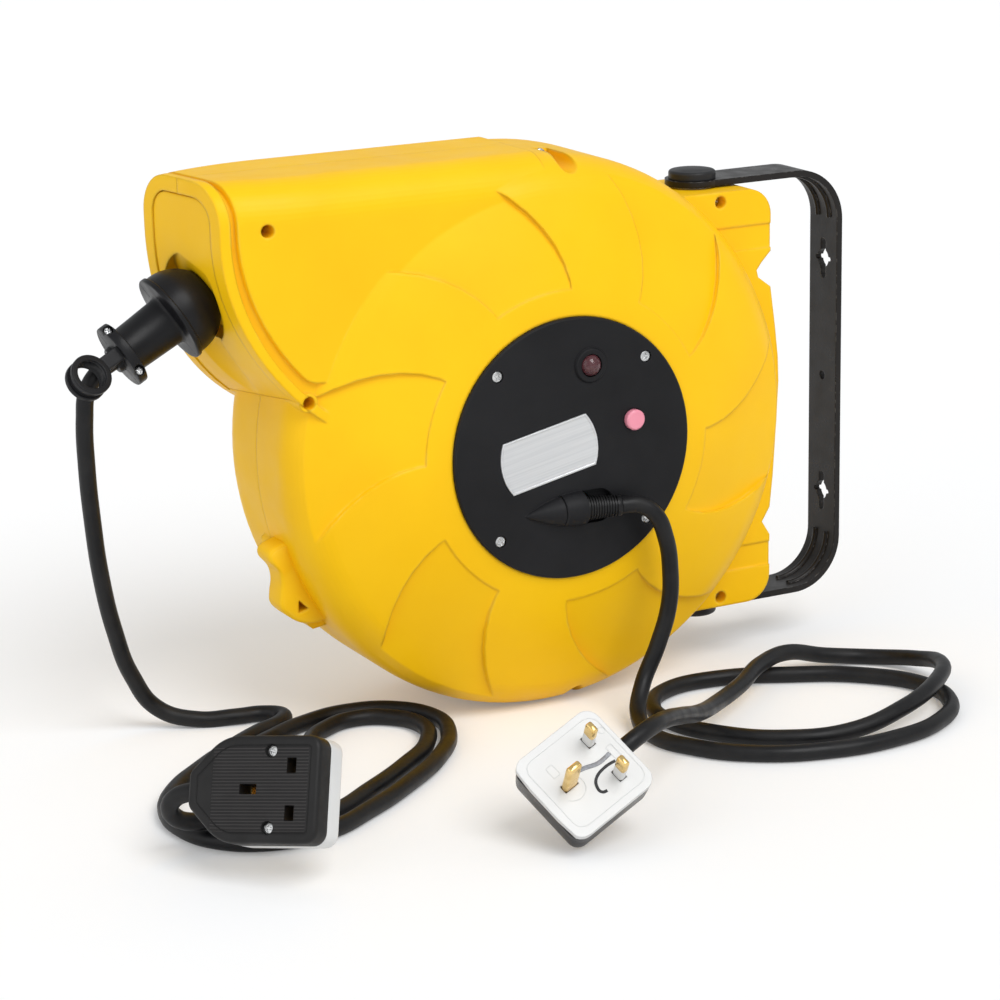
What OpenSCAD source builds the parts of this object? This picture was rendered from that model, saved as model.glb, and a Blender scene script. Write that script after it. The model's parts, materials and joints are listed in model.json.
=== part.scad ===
// Wall-mounted automatic extension cord reel: a moulded two-shell housing on a
// swivelling wall bracket, a spring drum with slip rings, a cord stopper with a
// trailing socket, and a supply cord with a plug. Millimetres, +Z up, +X into
// the wall, -Y toward the front panel. The origin is the bracket's wall face.

/* [Round housing] */
// Radius of the round housing
disc_r = 150; // [145:1:156]
// Half width of the straight rim
rim_half = 25.5; // [24:0.5:28]
// Radius of the shoulder between rim and crown
shoulder_r = 28; // [25:0.5:30]
// Radius of the crowned face
crown_r = 300; // [260:5:360]
// Angle above the mid-plane at which the shoulder runs into the crown
crown_join = 69; // [66:0.5:72]
// Wall of the moulded shells
wall_t = 3; // [2.4:0.1:3.4]

/* [Petals] */
// Number of sunk petals round each crown
petal_count = 6; // [4:1:7]
// Angle at which the first petal starts
petal_start = 28; // [20:1:36]
// Angle that one petal spans
petal_span = 31; // [24:1:36]
// Radius of the petals' inner edge
petal_in_r = 84; // [80:1:90]
// Radius at which a petal's floor meets the shoulder
petal_out_r = 143; // [140:0.5:144]
// Step down at the petals' inner edge
petal_step = 0.7; // [0.4:0.1:1.2]
// Radius of the petals' flatter floor
petal_floor_r = 600; // [500:20:800]
// How far a petal's sides swing round from its inner to its outer edge
petal_swirl = 16; // [10:1:20]

/* [Outlet box] */
// Height of the box's top over the round housing
box_rise = 1.5; // [1:0.1:3]
// Half depth of the box behind the mouth
box_half = 48; // [46:0.5:50]
// Radius in plan by which the box narrows to the mouth
box_flare_r = 140; // [130:2:170]
// Length of the box's narrowing part
box_flare_l = 57; // [50:1:60]
// Radius of the box's long top corners
box_corner_r = 21; // [16:0.5:24]
// Reach of the mouth past the round housing
mouth_reach = 37.5; // [34:0.5:42]
// Radius of the curved mouth
mouth_r = 120; // [114:1:126]
// Height of the mouth curve's centre
mouth_z = 123; // [118:1:128]
// Angle by which the mouth looks toward the front
mouth_slant = 9; // [5:0.5:10]
// Thickness of the lip round the mouth
lip_w = 8; // [7:0.5:9]
// Depth of the lip behind the mouth
lip_t = 4; // [3:0.5:5]
// Drop of the ledge beside the box's raised face
ledge_drop = 3; // [2:0.5:4]

/* [Swivel block] */
// Half height of the swivel block
block_half_z = 117.5; // [114:0.5:120]
// Half thickness of the swivel block
block_half_y = 26.6; // [26:0.2:28]
// Radius of the block's top corner
block_corner_r = 15; // [10:1:18]
// Distance of the swivel axis from the block's end
pivot_inset = 34.2; // [32:0.2:36]

/* [Lug] */
// Half thickness of the lower lug
lug_half = 8; // [6:0.5:10]
// Radius of the lug's round eye
lug_eye_r = 3; // [2.5:0.25:4]

/* [Wall bracket] */
// Distance of the wall from the reel's axis
wall_x = 206; // [204:0.5:212]
// Width of the bracket's strip
strip_w = 27; // [24:0.5:30]
// Thickness of the bracket's strip
strip_t = 3.5; // [3:0.25:4]
// Outer radius of the bracket's bends
bend_r = 30; // [26:1:34]
// Radius of the arms' round ends
arm_end_r = 15; // [14:0.5:17]
// Distance of the keyholes from the bracket's middle
keyhole_z = 67.9; // [60:0.5:76]
// Radius of a keyhole's round part
keyhole_r = 5.25; // [4.5:0.25:6]
// Width of a keyhole's slot
keyhole_slot_w = 5; // [4:0.25:6]
// Length of a keyhole's slot
keyhole_slot_l = 23; // [18:1:28]
// Radius of the middle screw hole
centre_hole_r = 2.5; // [2:0.25:3]

/* [Swivel pins] */
// Radius of a swivel pin
pin_r = 5; // [4:0.25:6]
// Radius of a swivel pin's head
pin_head_r = 9; // [8:0.5:10]
// Thickness of a swivel pin's head
pin_head_t = 2.4; // [2:0.2:3]
// Depth of a swivel pin below the block's face
pin_depth = 21; // [16:1:22]
// Radius of a swivel bush
bush_r = 9; // [8:0.25:10]
// Radius of a pin's cap
cap_r = 13; // [12:0.5:14]
// Height of a pin's cap
cap_h = 5.3; // [4.6:0.1:6.5]
// Thickness of the slip washer under each arm
washer_t = 0.9; // [0.8:0.05:1.2]
// Radius of a slip washer
washer_r = 12; // [11:0.5:14]

/* [Front panel] */
// Radius of the round front panel
panel_r = 70; // [68:0.5:72]
// Thickness of the front panel
panel_t = 4; // [3:0.25:5]
// How far the panel stands out of the crown
panel_stand = 2.4; // [1.5:0.1:3]
// Pitch radius of the panel's screws
panel_screw_pitch = 62.4; // [62:0.1:64]
// Radius of the cable hood
hood_r = 9.5; // [9:0.25:11]
// Length of the cable hood
hood_l = 34; // [30:1:38]
// Radius of the reset button
button_r = 5.5; // [4.5:0.25:6]
// Travel of the reset button
button_travel = 2; // [1.5:0.25:2.5]
// Radius of the lamp's lens
lamp_r = 6; // [5:0.25:7]
// Length of the name plate
plate_l = 58; // [50:1:60]
// Height of the name plate
plate_h = 29; // [24:1:32]

/* [Drum] */
// Radius of the drum's flanges
flange_r = 127; // [120:1:128]
// Thickness of the drum's flanges
flange_t = 2.5; // [2:0.25:3]
// Half width of the winding space
winding_half = 25.5; // [24:0.5:26]
// Radius of the drum's core
core_r = 60; // [58:1:66]
// Radius of the wound cord
winding_r = 112; // [100:1:114]
// Radius of the axle
axle_r = 8; // [7:0.5:9]
// Radius of the drum's hub
hub_r = 14; // [13:0.5:15]
// Radius of a slip ring
slip_ring_r = 16.5; // [16:0.25:17.5]

/* [Ratchet and spring] */
// Number of ratchet teeth, a multiple of four
tooth_count = 16; // [12:4:16]
// Radius of the ratchet's teeth
ratchet_r = 40; // [38:0.5:41]
// Height of the ratchet's teeth
tooth_h = 6; // [5:0.5:7]
// Thickness of the ratchet wheel
ratchet_t = 6; // [5:0.5:7]
// Radius of the spring case
case_r = 60; // [56:1:64]
// Depth of the spring case
case_d = 22; // [18:1:23]
// Turns of the mainspring
spring_turns = 6; // [4:1:8]
// Thickness of the mainspring's strip
spring_t = 1.2; // [0.8:0.1:1.6]

/* [Stopper] */
// Angle of the stopper's axis below the horizontal
stopper_drop = 30; // [25:1:35]
// Turn of the stopper about its own axis
stopper_twist = 28; // [0:1:40]
// Radius of the stopper's ball
ball_r = 23; // [22:0.25:23.5]
// Radius of the stopper's large flange
stopper_flange_r = 24; // [23.5:0.25:26]
// Length of the stopper's neck
neck_l = 27; // [22:1:32]
// Radius of the stopper's neck
neck_r = 13; // [12:0.5:14]
// Radius of the stopper's clamping flange
clamp_r = 17.5; // [17:0.5:19]

/* [Guide rollers] */
// Radius of a guide roller
roller_r = 8; // [7:0.25:8.5]
// Length of a guide roller
roller_l = 44; // [36:1:48]

/* [Cords] */
// Diameter of the rubber cord
cord_d = 9; // [8:0.5:9]

/* [Plug and socket] */
// Depth of the trailing socket
socket_d = 28; // [24:1:32]
// Depth of the plug's body behind its pin face
plug_d = 20; // [16:1:24]
// Length of the plug's line and neutral pins
pin_l = 17.7; // [16:0.1:19]
// Length of the plug's earth pin
earth_l = 22.7; // [21:0.1:24]

/* [Fits] */
// Clearance between fixed pieces
fit = 0.15; // [0.1:0.05:0.25]
// Radial clearance of running pins
run_fit = 0.05; // [0.03:0.01:0.09]
// Gap between pieces that pass each other
gap = 0.6; // [0.4:0.1:1]

/* [Hidden] */
$fn = 96;

// Lists of points along an arc about c
function arc(c, r, a0, a1, n) = [for (i = [0:n]) c + r * [cos(a0 + (a1 - a0) * i / n),
    sin(a0 + (a1 - a0) * i / n)]];
// The same points mirrored about the vertical axis and taken backwards
function mirrored(p) = [for (i = [len(p) - 1:-1:0]) [-p[i].x, p[i].y]];
// Degrees that a length spans on a radius
function degrees(len, r) = len / r * 180 / PI;

// Crown profile: a point is [distance from the reel's axis, depth from the mid-plane]
shoulder_c = [disc_r - shoulder_r, rim_half];
crown_c = shoulder_c - (crown_r - shoulder_r) * [cos(crown_join), sin(crown_join)];
crown_end = acos((panel_r - crown_c.x) / crown_r);
crown_depth = crown_c.y + crown_r * sin(crown_end);
function dome_profile(inset) = concat(
    [[0, 0], [disc_r - inset, 0]],
    arc(shoulder_c, shoulder_r - inset, 0, crown_join, 12),
    arc(crown_c, crown_r - inset, crown_join + 2, crown_end, 5),
    [[0, crown_c.y + (crown_r - inset) * sin(crown_end)]]
);

// Petal floor: a flatter arc from the sunk inner edge out to the shoulder
petal_a = [petal_in_r, crown_c.y + sqrt(pow(crown_r, 2) - pow(petal_in_r - crown_c.x, 2)) - petal_step];
petal_b = [petal_out_r, rim_half + sqrt(pow(shoulder_r, 2) - pow(petal_out_r - shoulder_c.x, 2))];
petal_chord = petal_b - petal_a;
petal_rise = sqrt(pow(petal_floor_r, 2) - pow(norm(petal_chord) / 2, 2));
petal_c = (petal_a + petal_b) / 2 - petal_rise * [-petal_chord.y, petal_chord.x] / norm(petal_chord);
petal_top = crown_depth + 20;
function petal_angle(r, inset) = acos((r - petal_c.x) / (petal_floor_r - inset));
function petal_band(inset) = let(
    a = arc(petal_c, petal_floor_r - inset, petal_angle(petal_out_r + 1.5, inset),
        petal_angle(petal_in_r - inset, inset), 8)
) concat(a, [[petal_in_r - inset, petal_top], [disc_r + 5, petal_top], [disc_r + 5, a[0].y]]);
function petal_swing(r) = petal_swirl * pow(max(0, r - petal_in_r) / (petal_out_r - petal_in_r), 1.5);
petal_steps = 8;
petal_r0 = petal_in_r - 6;
petal_radii = [for (i = [0:petal_steps]) petal_r0 + (disc_r + 4 - petal_r0) * i / petal_steps];
function petal_side(a, grow) = [for (r = petal_radii)
    let(t = a + petal_swing(r) + degrees(grow, r)) r * [cos(t), sin(t)]];
function petal_outline(inset) = let(
    right = petal_side(petal_start, -inset),
    left = petal_side(petal_start + petal_span, inset)
) concat(right, [for (i = [len(left) - 1:-1:0]) left[i]]);

// Outlet box
mouth_x = -(disc_r + mouth_reach);
mouth_c = [mouth_x + mouth_r, mouth_z];
box_top = disc_r + box_rise;
flare_x = mouth_x + box_flare_l;
box_left = mouth_x - 14;
function box_flare(inset) = let(
    c = [box_flare_r - box_corner_r, box_top - box_corner_r]
) concat([[0, 0], [box_flare_r - inset, 0]], arc(c, box_corner_r - inset, 0, 90, 12), [[0, box_top - inset]]);
function box_end(inset) = let(
    c = [box_half - box_corner_r, box_top - box_corner_r],
    right = concat([[box_half - inset, 0]], arc(c, box_corner_r - inset, 0, 90, 12))
) concat(right, mirrored(right));

// Raised face of the box, which stops short of the mouth's rim
rim_band_w = 5;
pad_c = mouth_c + [2.5, 5];
pad_r = mouth_r - 5.5;
pad_floor = 48;
ledge_top = box_top + 10;
pad_fillet = 12;
pad_fillet_z = pad_floor + pad_fillet;
pad_fillet_reach = sqrt(pow(pad_r - pad_fillet, 2) - pow(pad_c.y - pad_fillet_z, 2));
pad_fillet_c = [pad_c.x - pad_fillet_reach, pad_fillet_z];
pad_turn = 180 + acos(pad_fillet_reach / (pad_r - pad_fillet));
function pad_outline(inset) = concat(
    arc(pad_c, pad_r - inset, 180, pad_turn, 10),
    arc(pad_fillet_c, pad_fillet - inset, pad_turn + 6, 270, 6),
    [[0, pad_floor + inset], [0, ledge_top + 1], [pad_c.x - pad_r + inset, ledge_top + 1]]
);

// Swivel block, seen from the front; its outer edge is notched top and bottom
block_x = disc_r;
pivot_x = block_x - pivot_inset;
block_corner = [block_x - block_corner_r, block_half_z - block_corner_r];
notch_z = 72;
block_upper_notch = [[block_x, 82], [block_x - 6, 76], [block_x - 9, notch_z], [block_x - 8, 68],
    [block_x, 62]];
block_bulge = [[block_x + 3, 40], [block_x + 5, 22], [block_x + 5.5, 8], [block_x + 4, -18],
    [block_x + 2, -46]];
block_lower_notch = [[block_x, -64], [block_x - 5, -notch_z], [block_x, -80]];
block_outline = concat(
    [[60, block_half_z]], [for (i = [10:-1:0]) arc(block_corner, block_corner_r, 0, 90, 10)[i]],
    block_upper_notch, block_bulge, block_lower_notch,
    [for (i = [0:10]) arc([block_corner.x, -block_corner.y], block_corner_r, 0, -90, 10)[i]],
    [[60, -block_half_z]]
);
block_step = 0.8;

// Lug below the mouth, about the point of the rim that carries it
lug_at = disc_r * [cos(210), sin(210)];
lug_outline = [[-16, 30], [-15, 19], [-9, 8], [-9, 0], [-4, -11], [5, -20], [12, -19], [34, -10],
    [34, 40], [0, 45]];
lug_face = [[-11, 27], [-10, 18], [-4, 7], [-4, -1], [0, -9], [6, -15], [14, -14], [34, -5], [34, 38],
    [0, 40]];
lug_eye = [-0.5, 1.5];
lug_slot = [[-2, -5], [7, -6], [3, -14]];
lug_web = 4.5;

// Stack of depths along the axle, positive toward the front
flange_out = winding_half + flange_t;
bulkhead_in = flange_out + ratchet_t + 3;
bulkhead_t = 3;
bulkhead_out = bulkhead_in + bulkhead_t;
chamber_r = 57;
panel_face = crown_depth + panel_stand;
panel_seat = panel_face - panel_t;
axle_front = bulkhead_out + 22;
axle_rear = crown_depth - wall_t - 2;
rear_boss_in = flange_out + case_d + 4;

// Screws of the housing: [x, z] and the depth of the head's seat
screw_r = 1.9;
screw_head_r = 3.1;
screw_hole_r = 3.4;
boss_r = 5;
pocket_r = 5.5;
pocket_at = [15, disc_r - 4];
box_screws = [[mouth_x + 29.2, box_top - 23.5], [mouth_x + 47.4, 38.1]];
box_screw_seat = 30;
pocket_seat = 10;
clamp_screw = [pivot_x + 1.9, block_half_z - 5.5];
clamp_seat = 18;

// Panel features, seen from the front about the panel's middle
lamp_at = [10.6, 43.7];
button_at = [36.4, 11.2];
plate_at = [-14.5, -1];
plate_turn = 11.6;
hood_tip = [-30, -32.5];
hood_mouth_x = hood_tip.x + hood_l;
relief_tilt = 14;
relief_at = [hood_mouth_x - 10, 0.3 - panel_face, hood_tip.y];
relief_l = 31;
relief_r = 5.6;
relief_end_r = 5.1;
relief_ribs = 8;

// Ratchet: angles about the reel's axis
pawl_angle = 45;
pawl_radius = 54;
tooth_pitch = 360 / tooth_count;
tooth_face = pawl_angle + 26.5;
tooth_lean = 4.5;
pawl_lift = 15.6;
pawl_pivot = pawl_radius * [cos(pawl_angle), sin(pawl_angle)];
pawl_pin_r = 2;
pawl_pin_head_r = 2.8;
pawl_r = 5;
pawl_t = 5;

// Stopper and mouth opening, about the large flange's outer face
stopper_at = [mouth_x - 8, 79.5];
ball_c = -5;
bore_r = cord_d / 2 + 0.1;
opening_r = 24.5;
cup_t = 2;
cup_floor = -26;
cup_hole_r = sqrt(pow(ball_r, 2) - pow(cup_floor + cup_t - ball_c, 2)) + 0.3;
clamp_at = neck_l;
clamp_t = 5.5;
exit_at = clamp_at + clamp_t + 3.5;
eye_at = [0, -12, exit_at + 17];
eye_r = 9;
eye_hole_r = 6.3;
clamp_screw_x = 12.6;

// Guide rollers
roller_pin_r = 2.5;
roller_places = [[mouth_x + 27.5, mouth_z - 11], [mouth_x + 37.5, mouth_z - 43]];
roller_boss_in = roller_l / 2 + gap;
roller_boss_out = box_half - 5;

// Plug and socket: pin layout of a three-pin square-pin plug
pin_pitch = 11.1;
line_pin = [4, 6.35];
earth_pin = [8, 4];
socket_place = [-441.6, -197.4, -102.3];
socket_turn = [64, -7, -50];
socket_front_t = 12;
plug_place = [-289.6, -228.2, -113];
plug_turn = [41, -25.2, 5.5];
plug_cover_t = 3;

// Cord routes: ring centres in millimetres, about the wall face
cord_sides = 8;
floor_z = -150;
floor_c = floor_z + cord_d / 2;
lead_route = [
    [-432, 0, 61.9], [-404, 0, 78.1], [-375, 0, 94.4], [-362, 0, 99.6], [-345, 0, 104.2],
    [-300, 0, 110.5], [-240, 0, 117.6]
];
output_route = [
    [-432.7, 0, 61.5], [-441, 0, 56.5], [-447, 0, 48], [-449, 0.5, 34], [-448, 4, 8],
    [-444, 11, -22], [-438, 19, -56], [-429, 27, -90], [-419, 32, -117], [-404, 33, -139],
    [-386, 25, floor_c], [-366, 18, floor_c], [-352, 15, floor_c], [-344, 7, floor_c],
    [-349, -2, floor_c], [-366, -11, floor_c], [-391, -28, floor_c], [-416, -48, floor_c],
    [-438, -69, floor_c], [-452, -93, floor_c], [-455, -118, floor_c], [-446, -143, floor_c],
    [-425, -158, floor_c], [-396, -159, floor_c], [-364, -143, floor_c], [-332, -121, floor_c],
    [-302, -95, floor_c], [-281, -66, floor_c], [-275, -39, floor_c], [-287, -16, floor_c],
    [-313, -6, floor_c], [-342, -11.5, floor_c], [-363, -22, floor_c], [-385, -36, floor_c],
    [-401, -54, floor_c], [-404, -74, floor_c], [-393, -91, floor_c], [-376, -91, floor_c],
    [-364, -75, floor_c], [-356, -54, floor_c], [-347, -36, floor_c], [-334, -25, floor_c],
    [-315, -18, floor_c], [-296, -26, floor_c], [-287, -46, floor_c], [-297, -72, floor_c],
    [-323, -97, floor_c], [-354, -120, floor_c], [-382, -138, floor_c], [-406, -146, -143],
    [-427, -143, -138], [-444, -139.5, -135.8], [-457, -139, -135], [-466, -140.5, -130.5],
    [-470, -143.5, -123.5], [-468.5, -148, -117.5], [-465, -152.8, -114.3], [-460.4, -158.3, -112.8]
];
supply_route = [
    [-181.9, -77.7, -32.5], [-172, -80.2, -33], [-164, -83, -39], [-159, -84.5, -51],
    [-156, -84.5, -70], [-157, -84.5, -90], [-164, -85, -110], [-176, -88, -131],
    [-186, -101, -142], [-190, -122, floor_c], [-181, -150, floor_c], [-159, -174, floor_c],
    [-125, -189, floor_c], [-85, -192, floor_c], [-50, -182, floor_c], [-26, -159, floor_c],
    [-22, -129, floor_c], [-42, -98, floor_c], [-77, -76, floor_c], [-112, -62, floor_c],
    [-146, -64, floor_c], [-167, -84, floor_c], [-171, -110, floor_c], [-158, -140, floor_c],
    [-134, -162, floor_c], [-102, -174, -144], [-65, -170, -139], [-30, -152, -135],
    [-9, -126, -136], [-6, -98, -142], [-20, -74, floor_c], [-44, -65, -143], [-70, -68, -136],
    [-96, -80, -135], [-122, -101, -136], [-149, -122, -134.5], [-178, -150, -127],
    [-206, -177, -115.5], [-230, -201, -106], [-247, -215, -103], [-256.5, -218.5, -105.2],
    [-265.4, -219.3, -109.6]
];

// The reel is drawn about its own axis and then set off from the wall
module at_reel() translate([-wall_x, 0, 0]) children();
// A drawing in x and z, raised along -y: depth grows toward the front
module front_way() rotate([90, 0, 0]) children();
module at_depth(d) front_way() translate([0, 0, d]) children();
module ring(outer, inner, height) difference() {
    cylinder(r = outer, h = height);
    translate([0, 0, -1]) cylinder(r = inner, h = height + 2);
}
// Keeps the front (-1) or the rear (1) half of what it holds; room is more than the reel's size
room = 3 * disc_r;
module half(side) intersection() {
    children();
    translate([-room, side < 0 ? -room : 0, -room]) cube([2 * room, room, 2 * room]);
}
// A stadium: a slot's outline with round ends, centred
module slot_outline(len, width) {
    square([len - width, width], center = true);
    for (s = [-1, 1]) translate([s * (len - width) / 2, 0]) circle(r = width / 2);
}

// Housing shells

module petal_sectors(inset) for (i = [0:petal_count - 1]) rotate(i * 360 / petal_count)
    polygon(petal_outline(inset));

module petal_cut(inset) intersection() {
    rotate_extrude() polygon(petal_band(inset));
    linear_extrude(petal_top) petal_sectors(inset);
}

module dome(side, inset) mirror([0, side > 0 ? 1 : 0, 0]) front_way() difference() {
    rotate_extrude() polygon(dome_profile(inset));
    petal_cut(inset);
}

// Turns a drawing in x and z so that it follows the slanted mouth
module slanted() translate([mouth_x, 0, 0]) rotate([0, 0, mouth_slant]) translate([-mouth_x, 0, 0])
    front_way() linear_extrude(200, center = true) children();

module mouth_outline(inset) {
    translate(mouth_c) circle(r = mouth_r - inset, $fn = 180);
    translate([mouth_c.x - mouth_r + inset, mouth_z]) square([2 * disc_r, box_top]);
}
module mouth_zone(inset) slanted() mouth_outline(inset);

// A straight bar, which narrows to the mouth between two broad rounds
module box_bar(inset) {
    translate([flare_x, 0, 0]) rotate([90, 0, 90]) linear_extrude(-flare_x) polygon(box_end(inset));
    intersection() {
        translate([flare_x, box_flare_r - box_half, 0]) rotate_extrude() polygon(box_flare(inset));
        translate([flare_x, box_half - box_flare_r, 0]) rotate_extrude() polygon(box_flare(inset));
        translate([box_left, -box_half, 0]) cube([flare_x - box_left, 2 * box_half, box_top]);
    }
}

// The ledge between the rim band and the raised face, grown to leave a wall behind it
module ledge_cut(wall) difference() {
    slanted() difference() {
        intersection() {
            mouth_outline(rim_band_w - wall);
            translate([mouth_x, 0]) square([disc_r, ledge_top]);
        }
        polygon(pad_outline(wall));
    }
    box_bar(ledge_drop + wall);
}

module box_outer() difference() {
    intersection() {
        box_bar(0);
        mouth_zone(0);
    }
    ledge_cut(0);
}

module box_inner() {
    difference() {
        intersection() {
            box_bar(wall_t);
            mouth_zone(lip_t);
        }
        ledge_cut(wall_t);
    }
    difference() {
        intersection() {
            box_bar(lip_w);
            mouth_zone(-10);
        }
        front_way() cylinder(r = disc_r, h = 200, center = true);
    }
}

module block(side) mirror([0, side > 0 ? 1 : 0, 0]) front_way() difference() {
    linear_extrude(block_half_y) polygon(block_outline);
    for (s = [-1, 1]) translate([60, s > 0 ? 84 : -97.5, block_half_y - block_step])
        cube([disc_r, 13.5, 2]);
}

module lug(side) mirror([0, side > 0 ? 1 : 0, 0]) front_way() translate(lug_at) difference() {
    linear_extrude(lug_half) polygon(lug_outline);
    translate([0, 0, lug_web]) linear_extrude(lug_half) polygon(lug_face);
    translate([lug_eye.x, lug_eye.y, -1]) cylinder(r = lug_eye_r, h = lug_half + 2);
    translate([0, 0, -1]) linear_extrude(lug_half + 2) polygon(lug_slot);
}

// Screw boss inside the outer form, with its hole and its counterbore
module boss_stock(side, at, outer) intersection() {
    mirror([0, side > 0 ? 1 : 0, 0]) front_way() translate(at) cylinder(r = outer, h = crown_depth);
    union() {
        dome(side, 1);
        box_bar(1);
    }
}

module screw_bore(side, at, seat, bore) {
    mirror([0, side > 0 ? 1 : 0, 0]) front_way() translate(at) translate([0, 0, -1])
        cylinder(r = screw_r + fit, h = seat + 2);
    if (side < 0) at_depth(seat) translate(at) cylinder(r = bore, h = crown_depth);
}

module shell_bosses(side) {
    for (p = box_screws) boss_stock(side, p, boss_r);
    for (s = [-1, 1]) boss_stock(side, [pocket_at.x, s * pocket_at.y], side < 0 ? pocket_r + 2 : boss_r);
    intersection() {
        for (p = roller_places) mirror([0, side > 0 ? 1 : 0, 0]) at_depth(roller_boss_in) translate(p)
            cylinder(r = boss_r, h = roller_boss_out);
        box_bar(1);
    }
}

module shell_bores(side) {
    if (side < 0) {
        for (p = box_screws) screw_bore(side, p, box_screw_seat, screw_hole_r);
        for (s = [-1, 1]) screw_bore(side, [pocket_at.x, s * pocket_at.y], pocket_seat, pocket_r);
        for (s = [-1, 1]) at_depth(clamp_seat) translate([clamp_screw.x, s * clamp_screw.y])
            cylinder(r = screw_hole_r, h = 20);
        for (s = [-1, 1]) at_depth(bush_r) translate([clamp_screw.x, s * clamp_screw.y])
            cylinder(r = screw_r + fit, h = 20);
    } else {
        for (p = box_screws) screw_bore(side, p, 16, boss_r);
        for (s = [-1, 1]) screw_bore(side, [pocket_at.x, s * pocket_at.y], 16, boss_r);
    }
    for (s = [0, 1]) mirror([0, 0, s]) translate([pivot_x, 0, block_half_z]) {
        translate([0, 0, -pin_depth - gap]) cylinder(r = bush_r + fit / 2, h = pin_depth + gap + 1);
        translate([0, 0, run_fit]) cylinder(r = washer_r + gap, h = disc_r);
    }
    for (p = roller_places) mirror([0, side > 0 ? 1 : 0, 0]) at_depth(roller_boss_in - 1) translate(p)
        cylinder(r = roller_pin_r + fit / 2, h = roller_boss_out - 1 - roller_boss_in + 1);
}

module housing_half(side) {
    difference() {
        union() {
            dome(side, 0);
            half(side) box_outer();
            block(side);
            lug(side);
        }
        dome(side, wall_t);
        half(side) box_inner();
    }
    difference() {
        shell_bosses(side);
        mirror([0, side > 0 ? 1 : 0, 0]) at_depth(-1)
            cylinder(r = flange_r + gap, h = flange_out + 1 + gap);
    }
}

module front_shell() color("#fdca0b") at_reel() difference() {
    union() {
        housing_half(-1);
        at_depth(panel_seat - wall_t) ring(panel_r + 3, chamber_r, wall_t);
        at_depth(bulkhead_in) ring(chamber_r + wall_t, chamber_r, panel_seat - bulkhead_in);
        at_depth(bulkhead_in) ring(chamber_r + 1, slip_ring_r + 3, bulkhead_t);
        for (a = [45:90:315]) rotate([0, -a, 0]) at_depth(panel_seat - 14)
            translate([panel_screw_pitch, 0, 0]) cylinder(r = 4, h = 14);
    }
    shell_bores(-1);
    at_depth(panel_seat) cylinder(r = panel_r + fit, h = 20);
    at_depth(panel_seat - wall_t - 1) cylinder(r = chamber_r, h = 20);
    for (a = [45:90:315]) rotate([0, -a, 0]) at_depth(panel_seat - 12)
        translate([panel_screw_pitch, 0, 0]) cylinder(r = 1.5 + fit, h = 14);
    at_depth(bulkhead_in - 1) translate(pawl_pivot) cylinder(r = pawl_pin_r + fit / 2, h = bulkhead_t + 2);
}

module rear_shell() color("#fdca0b") at_reel() difference() {
    union() {
        housing_half(1);
        mirror([0, 1, 0]) at_depth(rear_boss_in) cylinder(r = hub_r, h = crown_depth - rear_boss_in - 1);
    }
    shell_bores(1);
    mirror([0, 1, 0]) at_depth(rear_boss_in - 1) cylinder(r = axle_r + fit / 2,
        h = axle_rear - rear_boss_in + 1);
}

// Stopper axis: local z leads out of the mouth, local y is the clamping axis
module at_stopper(twist) translate([stopper_at.x, 0, stopper_at.y]) rotate([0, -90 - stopper_drop, 0])
    rotate([0, 0, twist]) children();

insert_t = 2.5;
module mouth_insert() color("#fdca0b") at_reel() difference() {
    union() {
        intersection() {
            box_bar(lip_w + gap);
            difference() {
                mouth_zone(gap);
                mouth_zone(lip_t + fit + insert_t);
            }
        }
        difference() {
            intersection() {
                box_bar(wall_t + fit);
                mouth_zone(lip_t + fit);
            }
            mouth_zone(lip_t + fit + insert_t);
            ledge_cut(wall_t + fit);
        }
        intersection() {
            at_stopper(0) translate([0, 0, cup_floor]) cylinder(r = opening_r + cup_t, h = -cup_floor);
            mouth_zone(gap);
        }
    }
    at_stopper(0) translate([0, 0, cup_floor + cup_t]) cylinder(r = opening_r, h = 60);
    at_stopper(0) translate([0, 0, cup_floor - 1]) cylinder(r = cup_hole_r, h = 60);
    at_stopper(0) translate([0, -opening_r + 3, -14]) cube([opening_r - 1, 2 * opening_r - 6, 40]);
    translate([mouth_c.x, 0, mouth_c.y]) rotate([0, 147, 0])
        translate([mouth_r - 5 + opening_r, 0, -40]) cylinder(r = opening_r, h = 80);
    front_way() cylinder(r = disc_r + fit, h = 200, center = true);
}

// Screws: a pan head seated at a depth and a shank toward the rear
module screw(head, shank, seat, tip) {
    at_depth(seat) cylinder(r = head, h = 2.4);
    at_depth(tip) cylinder(r = shank, h = seat - tip);
}

screw_reach = 14;
module shell_screws() color("#8d8f92") at_reel() {
    for (p = box_screws) translate([p.x, 0, p.y]) screw(screw_head_r, screw_r, box_screw_seat, -screw_reach);
    for (s = [-1, 1]) translate([pocket_at.x, 0, s * pocket_at.y])
        screw(screw_head_r, screw_r, pocket_seat, -screw_reach);
    for (s = [-1, 1]) translate([clamp_screw.x, 0, s * clamp_screw.y])
        screw(screw_head_r, screw_r, clamp_seat, bush_r + gap);
}

// Wall bracket

inner_z = block_half_z + washer_t + 2 * run_fit;
module bracket_outline() {
    outer = inner_z + strip_t;
    difference() {
        translate([pivot_x - arm_end_r, -outer]) square([wall_x - pivot_x + arm_end_r, 2 * outer]);
        translate([pivot_x - arm_end_r - 1, -inner_z])
            square([wall_x - bend_r - pivot_x + arm_end_r + 1, 2 * inner_z]);
        translate([wall_x - bend_r - 1, -outer + bend_r])
            square([bend_r - strip_t + 1, 2 * (outer - bend_r)]);
        for (s = [-1, 1]) translate([wall_x - bend_r, s * (outer - bend_r)]) circle(r = bend_r - strip_t);
        for (s = [-1, 1]) difference() {
            translate([wall_x - bend_r, s > 0 ? outer - bend_r : -outer - 1])
                square([bend_r + 1, bend_r + 1]);
            translate([wall_x - bend_r, s * (outer - bend_r)]) circle(r = bend_r);
        }
    }
}

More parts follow.
